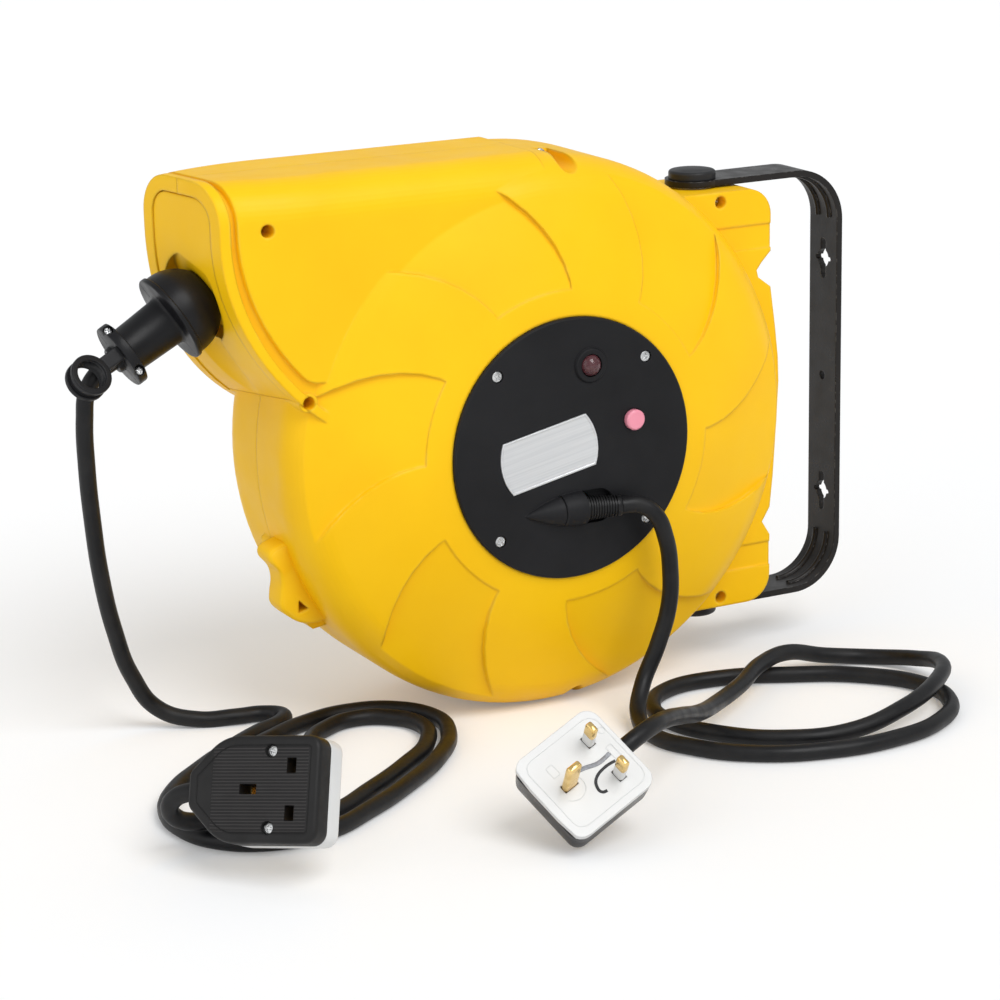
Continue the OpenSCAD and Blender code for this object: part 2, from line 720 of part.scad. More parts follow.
module keyhole() {
    circle(r = keyhole_r);
    rotate(90) slot_outline(keyhole_slot_l, keyhole_slot_w);
    slot_outline(2 * keyhole_r + 4, keyhole_slot_w / 2);
}

module wall_bracket() color("#2b2523") at_reel() {
    outer = inner_z + strip_t;
    difference() {
        intersection() {
            front_way() linear_extrude(2 * arm_end_r, center = true) bracket_outline();
            translate([0, 0, -outer - 1]) linear_extrude(2 * outer + 2) {
                translate([pivot_x, 0]) circle(r = arm_end_r);
                translate([pivot_x, -strip_w / 2]) square([wall_x - pivot_x, strip_w]);
            }
        }
        translate([pivot_x, 0, -outer - 1]) cylinder(r = pin_r + run_fit, h = 2 * outer + 2);
        translate([wall_x + 1, 0, 0]) rotate([0, -90, 0]) cylinder(r = centre_hole_r, h = strip_t + 2);
        for (s = [-1, 1]) translate([wall_x + 1, 0, s * keyhole_z]) rotate([0, -90, 0]) rotate(90)
            linear_extrude(strip_t + 2) keyhole();
    }
    for (s = [-1, 1], y = [-5.5, 5.5]) mirror([0, 0, s > 0 ? 0 : 1])
        translate([wall_x - bend_r, y, outer - bend_r]) front_way()
        rotate_extrude(angle = 90) translate([bend_r - strip_t, 0]) intersection() {
            circle(r = 1.6, $fn = 24);
            translate([-2, -2]) square([2.5, 4]);
        }
}

module pivot_pins() color("#9a9da0") at_reel() for (s = [0, 1]) mirror([0, 0, s]) {
    translate([pivot_x, 0, block_half_z - pin_depth])
        cylinder(r = pin_r, h = pin_depth + inner_z - block_half_z + strip_t);
    translate([pivot_x, 0, inner_z + strip_t]) cylinder(r = pin_head_r, h = pin_head_t);
}

cap_edge = 1.6;
cap_profile = concat(
    [[pin_head_r + fit, 0], [cap_r, 0], [cap_r, cap_h - cap_edge - 0.6]],
    arc([cap_r - cap_edge, cap_h - cap_edge - 0.6], cap_edge, 15, 85, 4),
    [[cap_r / 2, cap_h - 0.15], [0, cap_h], [0, pin_head_t + fit], [pin_head_r + fit, pin_head_t + fit]]
);
module pivot_caps() color("#16171a") at_reel() for (s = [0, 1]) mirror([0, 0, s])
    translate([pivot_x, 0, inner_z + strip_t]) rotate_extrude() polygon(cap_profile);

module pivot_washers() color("#d8d4c8") at_reel() for (s = [0, 1]) mirror([0, 0, s])
    translate([pivot_x, 0, block_half_z + run_fit]) ring(washer_r, pin_r + run_fit, washer_t);

module pivot_bushes() color("#d8d4c8") at_reel() for (s = [0, 1]) mirror([0, 0, s])
    translate([pivot_x, 0, block_half_z - pin_depth]) ring(bush_r, pin_r + run_fit, pin_depth);

// Front panel

module hood_form() translate([hood_tip.x, 0, hood_tip.y]) rotate([0, 90, 0]) rotate_extrude()
    polygon(concat(
    [[0, 0]],
    [for (i = [1:10]) let(t = i / 10) [hood_r * pow(sin(90 * t), 0.85), hood_l * t]],
    [[0, hood_l]]
));

hood_t = 1.4;
hood_bore_l = 13;
module front_panel() color("#17181b") at_reel() {
    difference() {
        union() {
            at_depth(panel_seat) rotate_extrude() polygon([[0, 0], [panel_r, 0],
                [panel_r, panel_t - 0.8], [panel_r - 0.8, panel_t], [0, panel_t]]);
            intersection() {
                translate([0, -panel_face, 0]) hood_form();
                translate([-100, -120, -100]) cube([200, 120 - panel_seat - 0.5, 200]);
            }
        }
        translate([hood_mouth_x - hood_bore_l, -panel_face, hood_tip.y]) rotate([0, 90, 0])
            cylinder(r = hood_r - hood_t, h = hood_bore_l + 1);
        at_depth(panel_face - 3) linear_extrude(3.01) translate([hood_mouth_x + 4, hood_tip.y])
            slot_outline(2 * hood_r + 12, 2 * hood_r - 1);
        at_depth(panel_seat - 1) linear_extrude(panel_t + 1) translate([relief_at.x + 4, hood_tip.y])
            slot_outline(28, 2 * relief_r + 5);
        at_depth(panel_seat - 1) translate(lamp_at) cylinder(r = lamp_r + 2.5 + fit, h = panel_t + 2);
        at_depth(panel_seat - 1) translate(button_at) cylinder(r = button_r + 0.3, h = panel_t + 2);
        for (a = [45:90:315]) rotate([0, -a, 0]) at_depth(panel_seat - 1)
            translate([panel_screw_pitch, 0, 0]) {
            cylinder(r = 1.5 + fit, h = panel_t + 2);
            translate([0, 0, panel_t - 1]) cylinder(r = screw_head_r + fit, h = 4);
        }
        at_depth(panel_face - 0.5) name_plate_form(fit);
    }
}

module panel_screws() color("#c7c9cc") at_reel() for (a = [45:90:315]) rotate([0, -a, 0])
    translate([panel_screw_pitch, 0, 0]) {
    at_depth(panel_face - 2) cylinder(r = screw_head_r, h = 1.8);
    at_depth(panel_seat - 10) cylinder(r = 1.5, h = panel_t + 8);
}

module name_plate_form(grow) translate(plate_at) rotate(plate_turn) linear_extrude(1.1) intersection() {
    square([plate_l + 2 * grow, plate_h + 2 * grow], center = true);
    circle(r = plate_l / 2 + grow);
}
module name_plate() color("#c9cbcd") at_reel() at_depth(panel_face - 0.5) name_plate_form(0);

module lamp_lens() color("#8a2a36") at_reel() at_depth(panel_face - 3) translate(lamp_at) rotate_extrude()
    polygon(concat([[0, 0], [lamp_r, 0]], arc([0, 2], lamp_r, 0, 90, 8)));

module lamp_holder() color("#101114") at_reel() at_depth(panel_face) translate(lamp_at) difference() {
    union() {
        translate([0, 0, -16]) cylinder(r = lamp_r + 2.5, h = 16);
        translate([0, 0, -0.01]) rotate_extrude() polygon([[0, 0], [lamp_r + 3.6, 0],
            [lamp_r + 2.6, 1.4], [0, 1.4]]);
    }
    translate([0, 0, -3]) cylinder(r = lamp_r + fit / 2, h = 6);
}

// Thermal cut-out behind its reset button
button_out = 3;
button_back = panel_seat - 3.5;
button_flange_r = button_r + 0.8;
cutout_back = panel_seat - 18;
cutout_w = 24;
module reset_button() color("#f29bb2") at_reel() translate([button_at.x, 0, button_at.y]) {
    at_depth(button_back) rotate_extrude() polygon([
        [0, 0], [button_flange_r, 0], [button_flange_r, panel_seat - fit - button_back],
        [button_r, panel_seat - fit - button_back], [button_r, panel_face + button_out - 0.8 - button_back],
        [button_r - 0.8, panel_face + button_out - button_back], [0, panel_face + button_out - button_back]
    ]);
    at_depth(button_back - 7) cylinder(r = 2.5, h = 7);
}

spring_floor = button_back - 8;
spring_l = button_back - spring_floor - button_travel - 0.3;
module button_spring() color("#b9bcc0") at_reel() at_depth(spring_floor) translate(button_at)
    ring(4.2, 3.2, spring_l);

module thermal_cutout() color("#e9e6dc") at_reel() difference() {
    at_depth(cutout_back) translate([button_at.x - cutout_w / 2, button_at.y - cutout_w / 2, 0])
        cube([cutout_w, cutout_w, panel_seat - cutout_back]);
    at_depth(spring_floor) translate(button_at) cylinder(r = button_flange_r + 0.4, h = 30);
    at_depth(spring_floor - 5) translate(button_at) cylinder(r = 3, h = 30);
}

// Ribbed bend relief of the supply cord
module bend_relief() color("#131417") at_reel() translate(relief_at) rotate([0, 0, -relief_tilt])
    rotate([0, 90, 0]) {
    step = relief_l / (relief_ribs + 1);
    rotate_extrude() polygon(concat(
        [[0, 0], [relief_r, 0]],
        [for (i = [0:relief_ribs - 1], k = [0:3]) let(
            r = relief_r + (relief_end_r - relief_r) * i / relief_ribs)
            [k == 0 || k == 3 ? r : r - 0.6, step * (i + [0.55, 0.6, 0.95, 1][k])]],
        [[relief_end_r, relief_l], [0, relief_l]]
    ));
}

// Drum

module drum_core() color("#2d2f33") at_reel() at_depth(-winding_half) {
    ring(core_r, core_r - 2.5, 2 * winding_half);
    ring(hub_r, hub_r - 3, 2 * winding_half);
    translate([0, 0, winding_half - 1.5]) ring(core_r - 1, hub_r - 1, 3);
}

module drum_front_flange() color("#2d2f33") at_reel() at_depth(winding_half)
    ring(flange_r, hub_r - 3, flange_t);
module drum_rear_flange() color("#2d2f33") at_reel() at_depth(-flange_out)
    ring(flange_r, hub_r - 3, flange_t);
module cable_winding() color("#111214") at_reel() at_depth(-winding_half + fit)
    ring(winding_r, core_r + fit, 2 * (winding_half - fit));

bush_l = 8;
module drum_bushes() color("#b58a3c") at_reel() for (s = [0, 1]) mirror([0, s, 0])
    at_depth(flange_out - bush_l) ring(hub_r - 3, axle_r + run_fit, bush_l);

ring_w = 3.5;
ring_gap = 1.5;
module slip_ring_hub() color("#d9d3c2") at_reel() at_depth(flange_out)
    ring(hub_r, axle_r + 1, axle_front - flange_out - 5);
module slip_rings() color("#c8963c") at_reel() for (i = [0:2])
    at_depth(bulkhead_out + 1.5 + i * (ring_w + ring_gap)) ring(slip_ring_r, hub_r, ring_w);

module ratchet_wheel() color("#8f949a") at_reel() at_depth(flange_out) difference() {
    linear_extrude(ratchet_t) polygon([for (i = [0:tooth_count - 1], k = [0:2]) let(
        r = k == 1 ? ratchet_r : ratchet_r - tooth_h,
        t = tooth_face + tooth_pitch * i + [0, tooth_lean, 0.8 * tooth_pitch][k]
    ) r * [cos(t), sin(t)]]);
    translate([0, 0, -1]) cylinder(r = hub_r, h = ratchet_t + 2);
}

module spring_case() color("#7d8187") at_reel() at_depth(-flange_out - case_d)
    ring(case_r, case_r - 1.5, case_d);
module spring_cover() color("#7d8187") at_reel() at_depth(-flange_out - case_d - 1.5)
    ring(case_r, axle_r + 1, 1.5);

spring_steps = 18;
spring_in = axle_r + 3;
spring_out = case_r - 1.5 - spring_t - 0.2;
function spiral(r_add) = [for (i = [0:spring_turns * spring_steps]) let(
    t = 360 * i / spring_steps,
    r = spring_in + (spring_out - spring_in) * i / (spring_turns * spring_steps) + r_add
) r * [cos(t), sin(t)]];
module mainspring() color("#5c6066") at_reel() at_depth(-flange_out - case_d + 1) linear_extrude(case_d - 2)
    polygon(concat(spiral(0), [for (i = [spring_turns * spring_steps:-1:0]) spiral(spring_t)[i]]));

module axle() color("#a4a8ad") at_reel() at_depth(-axle_rear)
    cylinder(r = axle_r, h = axle_rear + axle_front);

// Brush bridge on the bulkhead, which also holds the axle's front end
bridge_in = slip_ring_r + 3.5;
bridge_w = 24;
bridge_t = 4;
bridge_out = bridge_in + bridge_t;
module brush_block() color("#3a3c40") at_reel() difference() {
    union() {
        for (s = [-1, 1]) at_depth(bulkhead_out) translate([-bridge_w / 2, s > 0 ? bridge_in : -bridge_out, 0])
            cube([bridge_w, bridge_t, axle_front - bulkhead_out]);
        at_depth(axle_front - bridge_t) translate([-bridge_w / 2, -bridge_out, 0])
            cube([bridge_w, 2 * bridge_out, bridge_t]);
    }
    at_depth(axle_front - 6) cylinder(r = axle_r + fit / 2, h = 10);
}
module brushes() color("#4b3b2c") at_reel() for (i = [0:2])
    at_depth(bulkhead_out + 1.75 + i * (ring_w + ring_gap))
    translate([-3, -bridge_in, 0]) cube([6, bridge_in - slip_ring_r - 0.3, ring_w - 0.5]);

// Pawl: drawn in mesh, stored lifted clear of the teeth
pawl_gap = 0.9;
pawl_tip_turn = tooth_face + tooth_lean - 1.5;
pawl_tip_out = (ratchet_r - 0.5) * [cos(pawl_tip_turn), sin(pawl_tip_turn)];
pawl_tip_in = (ratchet_r - tooth_h + 1.2) * [cos(tooth_face - pawl_gap), sin(tooth_face - pawl_gap)];
pawl_side = 3 * [cos(pawl_angle + 60), sin(pawl_angle + 60)];
module pawl() color("#8f949a") at_reel() at_depth(flange_out + gap) translate(pawl_pivot)
    rotate(-pawl_lift) translate(-pawl_pivot) difference() {
    linear_extrude(pawl_t) {
        translate(pawl_pivot) circle(r = pawl_r);
        polygon([pawl_pivot + pawl_side, pawl_tip_out, pawl_tip_in, pawl_pivot - pawl_side]);
    }
    translate([pawl_pivot.x, pawl_pivot.y, -1]) cylinder(r = pawl_pin_r + run_fit, h = pawl_t + 2);
}
module pawl_pin() color("#a4a8ad") at_reel() translate([pawl_pivot.x, 0, pawl_pivot.y]) {
    at_depth(flange_out + gap) cylinder(r = pawl_pin_r, h = bulkhead_out - flange_out - gap);
    at_depth(bulkhead_out) cylinder(r = pawl_pin_head_r, h = 1.5);
}

// Guide rollers behind the mouth
module guide_roller(i) color("#e6e2d6") at_reel() at_depth(-roller_l / 2) translate(roller_places[i])
    ring(roller_r, roller_pin_r + run_fit, roller_l);
module guide_roller_upper() guide_roller(0);
module guide_roller_lower() guide_roller(1);
module roller_pins() color("#a4a8ad") at_reel() for (p = roller_places) at_depth(-roller_boss_out + 3)
    translate(p) cylinder(r = roller_pin_r, h = 2 * roller_boss_out - 6);

// Stopper

stopper_profile = concat(
    [[0, ball_c - ball_r]],
    arc([0, ball_c], ball_r, -80, 0, 10),
    [[ball_r, -3], [stopper_flange_r, -2.6], [stopper_flange_r, -0.4], [stopper_flange_r - 0.6, 0]],
    arc([neck_r + 2, 2], 2, 270, 180, 3),
    [[neck_r - 1, clamp_at - 1], [neck_r + 0.5, clamp_at], [clamp_r - 0.6, clamp_at],
        [clamp_r, clamp_at + 0.8]],
    [[clamp_r, clamp_at + clamp_t - 0.8], [clamp_r - 0.8, clamp_at + clamp_t], [8, clamp_at + clamp_t],
        [7, exit_at], [0, exit_at]]
);

module eye_form(grow) translate(eye_at) rotate([90, 0, 0]) {
    translate([0, 0, -4.5]) cylinder(r = eye_r - 1 + grow, h = 9);
    for (z = [-4.5, 2.5]) translate([0, 0, z]) cylinder(r = eye_r + grow, h = 2);
}

module stopper_form() difference() {
    union() {
        rotate_extrude() polygon(stopper_profile);
        eye_form(0);
        translate([-4, eye_at.y - 4.5, clamp_at + 1]) cube([8, 9, eye_at.z - clamp_at - 8]);
    }
    translate([0, 0, -60]) cylinder(r = bore_r, h = 120);
    translate(eye_at) rotate([90, 0, 0]) cylinder(r = eye_hole_r, h = 30, center = true);
    for (x = [-clamp_screw_x, clamp_screw_x]) translate([x, 0, clamp_at + clamp_t / 2]) rotate([90, 0, 0]) {
        cylinder(r = 1.2 + fit / 2, h = 40, center = true);
        translate([0, 0, 7]) cylinder(r = 2.6, h = 20);
    }
}

module stopper_half(side) at_reel() at_stopper(stopper_twist) intersection() {
    stopper_form();
    translate([-60, side < 0 ? -100 : fit, -60]) cube([120, 100, 160]);
}
module stopper_front_half() color("#17181b") stopper_half(-1);
module stopper_rear_half() color("#17181b") stopper_half(1);
module stopper_screws() color("#c7c9cc") at_reel() at_stopper(stopper_twist) for (x = [-clamp_screw_x,
    clamp_screw_x])
    translate([x, 0, clamp_at + clamp_t / 2]) rotate([90, 0, 0]) {
        translate([0, 0, 7]) cylinder(r = 2.3, h = 1.8);
        translate([0, 0, -6]) cylinder(r = 1.2, h = 13);
    }

// Cords: one tube swept along a route

function unit(v) = v / norm(v);
function heading(p, i) = unit(p[min(i + 1, len(p) - 1)] - p[max(i - 1, 0)]);
function upright(t) = unit(cross(t, abs(t.z) < 0.9 ? [0, 0, 1] : [1, 0, 0]));
function carried(n, t) = unit(n - (n * t) * t);
function side_dirs(p) = [for (i = 0, n = upright(heading(p, 0)); i < len(p); i = i + 1,
    n = i < len(p) ? carried(n, heading(p, i)) : n) n];
function tube_points(p, r, sides) = let(n = side_dirs(p)) [
    for (i = [0:len(p) - 1], j = [0:sides - 1]) let(b = cross(heading(p, i), n[i]))
        p[i] + r * (cos(360 * j / sides) * n[i] + sin(360 * j / sides) * b)
];
function tube_faces(rings, sides) = concat(
    [for (j = [1:sides - 2]) [0, j, j + 1]],
    [for (i = [0:rings - 2], j = [0:sides - 1], k = [0, 1]) let(
        a = i * sides + j, b = i * sides + (j + 1) % sides, c = b + sides, d = a + sides
    ) k == 0 ? [a, c, b] : [a, d, c]],
    [for (j = [1:sides - 2]) let(m = (rings - 1) * sides) [m, m + j + 1, m + j]]
);
module tube(p) polyhedron(tube_points(p, cord_d / 2, cord_sides), tube_faces(len(p), cord_sides));

module inner_lead() color("#141518") tube(lead_route);
module output_cord() color("#141518") tube(output_route);
module supply_cord() color("#141518") tube(supply_route);

// Trailing socket: local x runs from the cord end, local z out of its face

module at_socket() translate(socket_place) rotate(socket_turn) children();
socket_half_w = 27;
socket_r = 7;
socket_tail = -43;
socket_outline = concat(
    arc([30 - socket_r, -socket_half_w + socket_r], socket_r, -90, 0, 6),
    arc([30 - socket_r, socket_half_w - socket_r], socket_r, 0, 90, 6),
    arc([-24 + socket_r, socket_half_w - socket_r], socket_r, 90, 150, 4),
    [[socket_tail + 4, 13], [socket_tail, 9], [socket_tail, -9], [socket_tail + 4, -13]],
    arc([-24 + socket_r, -socket_half_w + socket_r], socket_r, 210, 270, 4)
);
socket_ways = [[pin_pitch, pin_pitch, line_pin], [pin_pitch, -pin_pitch, line_pin],
    [-pin_pitch, 0, earth_pin]];
socket_screws_at = [[0, 18], [0, -18]];

module socket_front() color("#1b1c1f") at_socket() difference() {
    translate([0, 0, -socket_front_t]) linear_extrude(socket_front_t) polygon(socket_outline);
    for (w = socket_ways) translate([w[0], w[1], -socket_front_t / 2])
        cube([w[2].x + 0.8, w[2].y + 0.8, socket_front_t + 2], center = true);
    translate([socket_tail - 1, 0, -socket_front_t]) rotate([0, 90, 0]) cylinder(r = bore_r, h = 14);
    for (s = socket_screws_at) translate([s.x, s.y, -socket_front_t - 1]) {
        cylinder(r = 1.5 + fit / 2, h = socket_front_t + 2);
        translate([0, 0, socket_front_t - 2.5]) cylinder(r = 3.2, h = 6);
    }
}

module socket_back() color("#d6d5d0") at_socket() difference() {
    translate([0, 0, -socket_d]) linear_extrude(socket_d - socket_front_t) polygon(socket_outline);
    translate([-22, -18, -socket_d + 3]) cube([44, 36, socket_d - socket_front_t]);
    translate([socket_tail - 1, 0, -socket_front_t]) rotate([0, 90, 0]) cylinder(r = bore_r, h = 25);
    for (s = socket_screws_at) translate([s.x, s.y, -socket_front_t - 6])
        cylinder(r = 1.5 + fit / 2, h = 7);
}

module socket_contacts() color("#c8963c") at_socket() for (w = socket_ways)
    translate([w[0], w[1], -socket_front_t - 10]) difference() {
    translate([0, 0, 5]) cube([w[2].x + 2.4, w[2].y + 2.4, 10 - 2 * fit], center = true);
    translate([0, 0, 6]) cube([w[2].x, w[2].y, 10], center = true);
}

module socket_screws() color("#b9bcc0") at_socket() for (s = socket_screws_at) translate([s.x, s.y, 0]) {
    translate([0, 0, -3.5]) cylinder(r = 2.9, h = 1.8);
    translate([0, 0, -socket_front_t - 5]) cylinder(r = 1.5, h = socket_front_t + 2);
}

// Plug: local x runs from the earth side to the cord side, local z out of the pin face

module at_plug() translate(plug_place) rotate(plug_turn) children();
plug_outline = concat(
    arc([17, -18], 7, -90, 0, 6), arc([17, 18], 7, 0, 90, 6),
    arc([-20, 18], 7, 90, 150, 4), [[-27, 10], [-27, -10]], arc([-20, -18], 7, 210, 270, 4)
);
plug_ways = [[pin_pitch, pin_pitch], [pin_pitch, -pin_pitch]];

module plug_body() color("#17181b") at_plug() difference() {
    translate([0, 0, -plug_d]) linear_extrude(plug_d - plug_cover_t) polygon(plug_outline);
    translate([-17, -15, -plug_d + 4]) cube([33, 30, plug_d]);
    translate([14, 0, -plug_d / 2]) rotate([0, 90, 0]) cylinder(r = bore_r, h = 20);
}
module plug_face() color("#eeeeec") at_plug() difference() {
    translate([0, 0, -plug_cover_t]) linear_extrude(plug_cover_t) polygon(plug_outline);
    for (w = plug_ways) translate([w.x, w.y, 0]) cube([line_pin.x + 2 * fit, line_pin.y + 2 * fit, 20],
        center = true);
    translate([-pin_pitch, 0, 0]) cube([earth_pin.x + 2 * fit, earth_pin.y + 2 * fit, 20], center = true);
}
module plug_pins() color("#cfa24a") at_plug() {
    for (w = plug_ways) difference() {
        translate([w.x - line_pin.x / 2, w.y - line_pin.y / 2, -10])
            cube([line_pin.x, line_pin.y, pin_l + 10]);
        sleeve_zone(w);
    }
    translate([-pin_pitch - earth_pin.x / 2, -earth_pin.y / 2, -10])
        cube([earth_pin.x, earth_pin.y, earth_l + 10]);
}
sleeve_l = 9;
sleeve_t = 0.6;
module sleeve_zone(w) difference() {
    translate([w.x - line_pin.x / 2 - 1, w.y - line_pin.y / 2 - 1, 0])
        cube([line_pin.x + 2, line_pin.y + 2, sleeve_l]);
    translate([w.x - line_pin.x / 2 + sleeve_t, w.y - line_pin.y / 2 + sleeve_t, -1])
        cube([line_pin.x - 2 * sleeve_t, line_pin.y - 2 * sleeve_t, sleeve_l + 2]);
}
module pin_sleeves() color("#17181b") at_plug() for (w = plug_ways) intersection() {
    sleeve_zone(w);
    translate([w.x - line_pin.x / 2, w.y - line_pin.y / 2, 0]) cube([line_pin.x, line_pin.y, sleeve_l]);
}

wall_bracket();
pivot_pins();
pivot_caps();
pivot_washers();
pivot_bushes();
front_shell();
rear_shell();
mouth_insert();
shell_screws();
front_panel();
panel_screws();
name_plate();
lamp_lens();
lamp_holder();
reset_button();
button_spring();
thermal_cutout();
bend_relief();
supply_cord();
plug_body();
plug_face();
plug_pins();
pin_sleeves();
drum_core();
drum_front_flange();
drum_rear_flange();
cable_winding();
drum_bushes();
slip_ring_hub();
slip_rings();
ratchet_wheel();
spring_case();
spring_cover();
mainspring();
axle();
brush_block();
brushes();
pawl();
pawl_pin();
guide_roller_upper();
guide_roller_lower();
roller_pins();
inner_lead();
stopper_front_half();
stopper_rear_half();
stopper_screws();
output_cord();
socket_front();
socket_back();
socket_contacts();
socket_screws();
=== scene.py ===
# %% [markdown]
# # A wall-mounted cord reel, dressed for its picture
# The reel was drawn as solids first: a yellow two-shell housing, a black front panel, a steel bracket,
# a spring drum inside, and two rubber cords with a plug and a trailing socket. Those solids are loaded
# here and never moved. What this notebook adds is what a solid modeller leaves out: rubber that bends,
# screws with recesses, brushed and moulded surfaces, and light.

# %% Load the solids
import json
import math
import bmesh
import bpy
from mathutils import Euler, Matrix, Vector


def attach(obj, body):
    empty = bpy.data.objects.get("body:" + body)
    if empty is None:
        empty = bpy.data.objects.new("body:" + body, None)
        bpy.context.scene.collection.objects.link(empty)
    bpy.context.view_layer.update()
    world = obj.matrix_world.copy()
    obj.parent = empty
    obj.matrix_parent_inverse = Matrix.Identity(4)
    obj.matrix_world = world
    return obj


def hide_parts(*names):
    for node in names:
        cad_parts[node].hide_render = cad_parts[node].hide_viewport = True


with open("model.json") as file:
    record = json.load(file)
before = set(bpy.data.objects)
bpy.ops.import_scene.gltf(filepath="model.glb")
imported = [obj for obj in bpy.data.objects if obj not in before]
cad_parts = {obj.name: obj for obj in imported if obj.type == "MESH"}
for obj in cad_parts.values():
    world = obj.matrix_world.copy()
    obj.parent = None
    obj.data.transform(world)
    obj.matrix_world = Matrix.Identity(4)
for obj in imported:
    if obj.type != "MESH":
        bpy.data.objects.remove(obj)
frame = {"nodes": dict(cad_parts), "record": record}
scene = bpy.context.scene
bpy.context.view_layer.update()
body_of_node = {n: body for body, nodes in frame["record"]["behaviour"]["bodies"].items() for n in nodes}
slot_of_node = {row["node"]: row["material_slot"] for row in frame["record"]["subparts"]}

# %% [markdown]
# ## The camera
# A product photographer stands well back with a long lens, so that the round housing stays round and
# the plug in front does not swell. A camera can be aimed with a Track To constraint, but a constraint
# hides the numbers. Here three directions, right, up and back, are written as the columns of its
# matrix, which is all that a camera's rotation is.

# %% Camera


def in_scene(name, data):
    """Makes an object of a mesh, a curve, a lamp or a camera and puts it in the scene."""
    made = bpy.data.objects.new(name, data)
    scene.collection.objects.link(made)
    return made


camera_place = Vector((-0.9900, -1.4713, 0.4182))
camera_right = Vector((0.88167, -0.47149, -0.01880))
camera_up = Vector((0.14204, 0.22719, 0.96344))
camera_data = bpy.data.cameras.new("portrait_lens")
camera_data.lens, camera_data.sensor_width = 114.11, 36.0
camera = in_scene("camera", camera_data)
camera_back = camera_right.cross(camera_up)
camera.matrix_world = Matrix.Translation(camera_place) @ Matrix(
    (camera_right, camera_up, camera_back)).transposed().to_4x4()
scene.camera = camera
print("camera", round(camera_place.length, 2), "m from the wall face, lens", camera_data.lens, "mm")

# %% [markdown]
# ## The floor and the light
# The cords lie on a plain white sweep. White paper in a picture is a matter of the paper and not of
# the lamp: if the lamps are turned up until the floor is white, the yellow plastic burns out first. So
# the floor is a pale matt surface, and only rays that come straight from the camera, or by way of
# metal and glass, find it a little lighter. It still takes the reel's shadow.

# %% Floor
floor_height, floor_reach = -0.150, 9.0
floor_lift = 0.17


def new_finish(name, metallic=0.0, coat=0.0, ior=1.5, shine=0.5):
    """A material with its main shader; what is the same all over is set on the shader's own sockets."""
    finish = bpy.data.materials.new(name)
    finish.use_nodes = True
    shader = finish.node_tree.nodes["Principled BSDF"]
    for socket, value in (("Metallic", metallic), ("Coat Weight", coat), ("Coat Roughness", 0.15),
                          ("IOR", ior), ("Specular IOR Level", shine)):
        shader.inputs[socket].default_value = value
    return finish


def add(finish, kind, wires=None, **settings):
    """Adds a shader node; wires gives its inputs, each from another node's output or as a plain value."""
    tree = finish.node_tree
    new = tree.nodes.new("ShaderNode" + kind)
    for name, value in settings.items():
        setattr(new, name, value)
    for name, value in (wires or {}).items():
        if isinstance(value, bpy.types.NodeSocket):
            tree.links.new(value, new.inputs[name])
        else:
            new.inputs[name].default_value = value
    return new


def seen_directly(finish):
    """1 for rays from the camera, a mirror or glass, and 0 for the rays that carry light about."""
    path = add(finish, "LightPath")
    seen = path.outputs["Is Camera Ray"]
    for ray in ("Is Glossy Ray", "Is Transmission Ray"):
        seen = add(finish, "Math", {0: seen, 1: path.outputs[ray]}, operation="MAXIMUM").outputs[0]
    return seen


sweep = new_finish("white_sweep")
paper = sweep.node_tree.nodes["Principled BSDF"]
paper.inputs["Base Color"].default_value = (0.83, 0.83, 0.83, 1)
paper.inputs["Roughness"].default_value = 0.9
paper.inputs["Specular IOR Level"].default_value = 0.0
lift = add(sweep, "Math", {0: seen_directly(sweep), 1: floor_lift}, operation="MULTIPLY")
glow = add(sweep, "Emission", {"Strength": lift.outputs[0]})
both = add(sweep, "AddShader", {0: paper.outputs[0], 1: glow.outputs[0]})
sweep.node_tree.links.new(both.outputs[0], sweep.node_tree.nodes["Material Output"].inputs["Surface"])

floor_sheet = bmesh.new()
bmesh.ops.create_grid(floor_sheet, x_segments=2, y_segments=2, size=floor_reach,
                      matrix=Matrix.Translation((0, 0, floor_height)))
floor_mesh = bpy.data.meshes.new("floor")
floor_sheet.to_mesh(floor_mesh)
floor_mesh.materials.append(sweep)
floor = in_scene("floor", floor_mesh)
print("floor at", floor_height, "m")

# %% [markdown]
# ## Lamps
# A large window or a cloudy sky gives soft light; three broad suns and a pale sky do the same job here.
# Area lamps would fall off across the floor and leave a grey horizon, while a sun lights the far floor
# as it lights the near one. The wide angle of each sun is what makes its shadow soft.

# %% Lamps and sky
lamps = {
    "key": {"from": (0.15, -1.00, 1.20), "strength": 1.55, "angle": 36},
    "left_fill": {"from": (-1.3, -0.30, 0.45), "strength": 0.55, "angle": 60},
    "low_front": {"from": (-0.2, -1.00, 0.05), "strength": 0.30, "angle": 70},
}
for name, lamp in lamps.items():
    data = bpy.data.lights.new(name, "SUN")
    data.energy, data.angle = lamp["strength"], math.radians(lamp["angle"])
    sun = in_scene(name, data)
    sun.rotation_euler = Vector(lamp["from"]).to_track_quat("Z", "Y").to_euler()

sky = scene.world or bpy.data.worlds.new("sky")
scene.world = sky
sky.use_nodes = True
sky.node_tree.nodes.clear()
sky_light = add(sky, "Background", {"Color": (0.96, 0.98, 1.0, 1), "Strength": 0.58})
sky_paper = add(sky, "Background", {"Strength": 1.0})
sky_mix = add(sky, "MixShader", {0: add(sky, "LightPath").outputs["Is Camera Ray"],
                                 1: sky_light.outputs[0], 2: sky_paper.outputs[0]})
add(sky, "OutputWorld", {0: sky_mix.outputs[0]})
scene.view_settings.view_transform = "Standard"
print("lamps:", ", ".join(lamps))

# %% [markdown]
# ## A bench of small material tools
# Every finish below is built from the same few steps: clouds of noise at some size, a colour or a
# roughness that follows them, and a relief that tilts the surface. Writing the steps once keeps each
# finish short enough to read. Places are read in object coordinates, which are metres here, so a
# noise scale of 1000 makes grains about a millimetre across.

# %% Material steps


def place_of(finish):
    return add(finish, "TexCoord").outputs["Object"]


